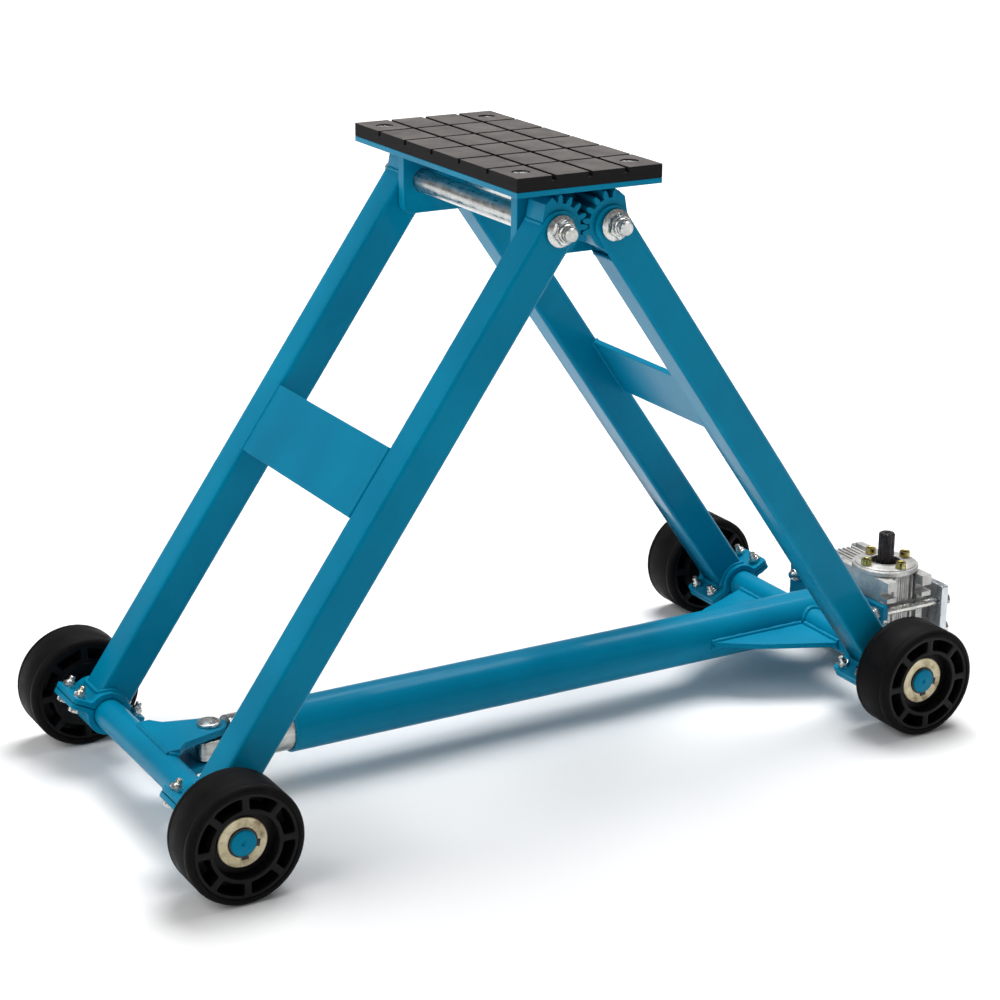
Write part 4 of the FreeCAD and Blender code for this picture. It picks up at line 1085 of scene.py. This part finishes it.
def weld(body, seams, name, radius, seed):
    mesh = grown(seam_mesh(seams), lay_beads,
                 {"Bead Radius": radius * MM, "Ripple Pitch": 2.4 * MM, "Ripple Depth": 0.16,
                  "Seed": float(seed), "Finish": blue_enamel})
    print(f"{name}: {len(seams)} seams, {len(mesh.polygons)} faces")
    show(mesh, name, body, blue_enamel)


def straight(matrix, start, end, count=24):
    """A straight seam between two local points."""
    first = matrix @ Vector(start)
    last = matrix @ Vector(end)
    return [first.lerp(last, index / count) for index in range(count + 1)]


# %% Seams of a leg frame
LEG_HALF = (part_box("slide_leg_front")[1].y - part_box("slide_leg_front")[0].y) / 2 / MM
LEG_CORNER = 4.0
LEG_SHIFT = 1.0
WEB_LOW = 255.5
WEB_HIGH = 320.0


def leg_seams(end):
    """Leg on its bearing shell, web between the legs, and gear in the leg."""
    seams = []
    inward = INWARD[end]
    shift = inward * LEG_SHIFT
    outer = shift - inward * LEG_HALF
    for out in SIDES.values():
        matrix = leg_frame(end, out * LEG_Y)
        ring = [(x + shift, y) for x, y in densified(square_section(LEG_HALF + 0.4, LEG_CORNER))]
        seams.append([matrix @ Vector((x, y, math.sqrt(BEARING_OUTER ** 2 - x * x) + 0.3)) for x, y in ring])
        face = -out * (LEG_HALF - 0.2)
        for x in (outer + inward * 5.4, outer + inward * 0.8):
            seams.append(straight(matrix, (x, face, WEB_LOW), (x, face, WEB_HIGH)))
        for x, z in ((outer + inward, LEG_LENGTH - 3), (shift + inward * (LEG_HALF - 1), LEG_LENGTH - 24)):
            seams.append(straight(matrix, (x, -12.5, z), (x, 12.5, z)))
    return seams


for seed, end in enumerate(INWARD):
    weld(f"{end}_leg", leg_seams(end), f"{end}_leg_welds", 1.7, seed)

# %% Seams of the lift tube
GUSSET_START = -118.0
GUSSET_END = 79.0


def base_seams():
    """Axle into the tube, gussets along both, and the gearbox plate on the tube's end."""
    place = Matrix.Translation(axle_at["drive"]) @ Matrix.Scale(MM, 4)
    seams = []
    for out in SIDES.values():
        ring = []
        for step in range(73):
            turn = math.radians(step * 5)
            x = (AXLE_RADIUS + 0.3) * math.cos(turn)
            z = (AXLE_RADIUS + 0.3) * math.sin(turn)
            ring.append(place @ Vector((x, out * (math.sqrt(TUBE_RADIUS ** 2 - z * z) + 0.3), z)))
        seams.append(ring)
        for up in (-1, 1):
            z = up * 2.6
            seams.append(straight(place, (GUSSET_START, out * 22.9, z), (-16, out * 22.9, z), 60))
            seams.append(straight(place, (-13.4, out * 26, z), (-13.4, out * GUSSET_END, z), 40))
    plate_x = (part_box("gearbox_mount_plate")[0].x - axle_at["drive"].x) / MM
    around = [(plate_x - 0.4, (TUBE_RADIUS + 0.4) * math.cos(math.radians(step * 5)),
               (TUBE_RADIUS + 0.4) * math.sin(math.radians(step * 5))) for step in range(73)]
    seams.append([place @ Vector(point) for point in around])
    return seams


weld("base", base_seams(), "lift_tube_welds", 2.1, 7)

# %% Seams of the saddle and the slide axle


def saddle_seams():
    """Both cheeks under the saddle plate."""
    seams = []
    for side in SIDES:
        low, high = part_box(f"saddle_cheek_{side}")
        z = high.z - 0.3 * MM
        for y in (low.y, high.y):
            seams.append(straight(Matrix(), (low.x + 2 * MM, y, z), (high.x - 2 * MM, y, z), 40))
    return seams


def clevis_seams():
    """Clevis plates on the slide axle, above and below."""
    place = Matrix.Translation(axle_at["slide"]) @ Matrix.Scale(MM, 4)
    seams = []
    for up in (-1, 1):
        seams.append(straight(place, (2.0, -33, up * 13.6), (2.0, 33, up * 13.6), 40))
        seams.append(straight(place, (9.4, -30, up * 9.8), (9.4, 30, up * 9.8), 40))
        for out in SIDES.values():
            seams.append(straight(place, (2.0, out * 33.6, up * 13.6), (11, out * 33.6, up * 11), 12))
    return seams


weld("saddle", saddle_seams(), "saddle_welds", 1.4, 9)
weld("slide_axle", clevis_seams(), "clevis_welds", 1.9, 10)

# %% [markdown]
# ## Studio
#
# A product like this is lit by one large soft light above and behind, and a second from the
# left, over a white floor that glows further out. The camera stands to the front left.

# %% Camera
AZIMUTH = math.radians(-29.9)
ELEVATION = math.radians(18.67)
ROLL = math.radians(0.41)
DISTANCE = 2.16712
AIM = Vector((-0.02937, 0.01616, 0.21366))
LENS = 88.51

back = Vector((math.sin(AZIMUTH) * math.cos(ELEVATION), -math.cos(AZIMUTH) * math.cos(ELEVATION),
               math.sin(ELEVATION)))
right = (-back).cross(Vector((0, 0, 1))).normalized()
up = right.cross(-back)
tilted_right = math.cos(ROLL) * right + math.sin(ROLL) * up
tilted_up = math.cos(ROLL) * up - math.sin(ROLL) * right
lens = bpy.data.cameras.new("studio_camera")
lens.lens = LENS
lens.sensor_width = 36
camera = bpy.data.objects.new("studio_camera", lens)
camera.matrix_world = Matrix.Translation(AIM + back * DISTANCE) @ Matrix(
    (tilted_right, tilted_up, back)).transposed().to_4x4()
bpy.context.scene.collection.objects.link(camera)
bpy.context.scene.camera = camera

# %% Floor and lights
floor_shape = bmesh.new()
bmesh.ops.create_grid(floor_shape, x_segments=8, y_segments=8, size=30)
floor = bpy.data.objects.new("floor", to_mesh(floor_shape, "floor"))
bpy.context.scene.collection.objects.link(floor)


def floor_recipe(board, where):
    distance = board.node("ShaderNodeVectorMath", {"operation": "LENGTH"}, {0: where}, "Value")
    glow = board.ramp(distance, 0.8, 3.2)
    return {
        "Base Color": board.blend(board.noise(where, 0.7, 2), tone(246, 246, 246), tone(252, 252, 252)),
        "Emission Color": board.blend(glow, (0, 0, 0, 1), (1, 1, 1, 1)),
    }


floor.data.materials.append(new_finish("studio_floor", floor_recipe, Roughness=0.9, Specular_IOR_Level=0.1,
                                       Emission_Strength=0.8))


def softbox(name, at, aim, size, power):
    light = bpy.data.lights.new(name, "AREA")
    light.shape = "RECTANGLE"
    light.size, light.size_y = size
    light.energy = power
    lamp = bpy.data.objects.new(name, light)
    lamp.location = at
    lamp.rotation_euler = (Vector(aim) - Vector(at)).to_track_quat("-Z", "Y").to_euler()
    bpy.context.scene.collection.objects.link(lamp)


softbox("overhead", (0.7, 0.6, 2.5), (0, 0, 0.1), (1.9, 1.7), 84)
softbox("left_side", (-2.2, -0.1, 1.8), (0, 0, 0.25), (2.4, 2.0), 32)
softbox("front_fill", (1.2, -2.8, 1.6), (0, 0, 0.2), (1.6, 1.2), 2)
world = bpy.data.worlds.new("studio_air")
bpy.context.scene.world = world
world.use_nodes = True
air = world.node_tree.nodes["Background"]
air.inputs["Color"].default_value = (1.0, 1.0, 1.0, 1.0)
air.inputs["Strength"].default_value = 0.25
bpy.context.scene.view_settings.view_transform = "Standard"
print("studio: camera", round(LENS, 1), "mm at", round(DISTANCE, 2), "m")
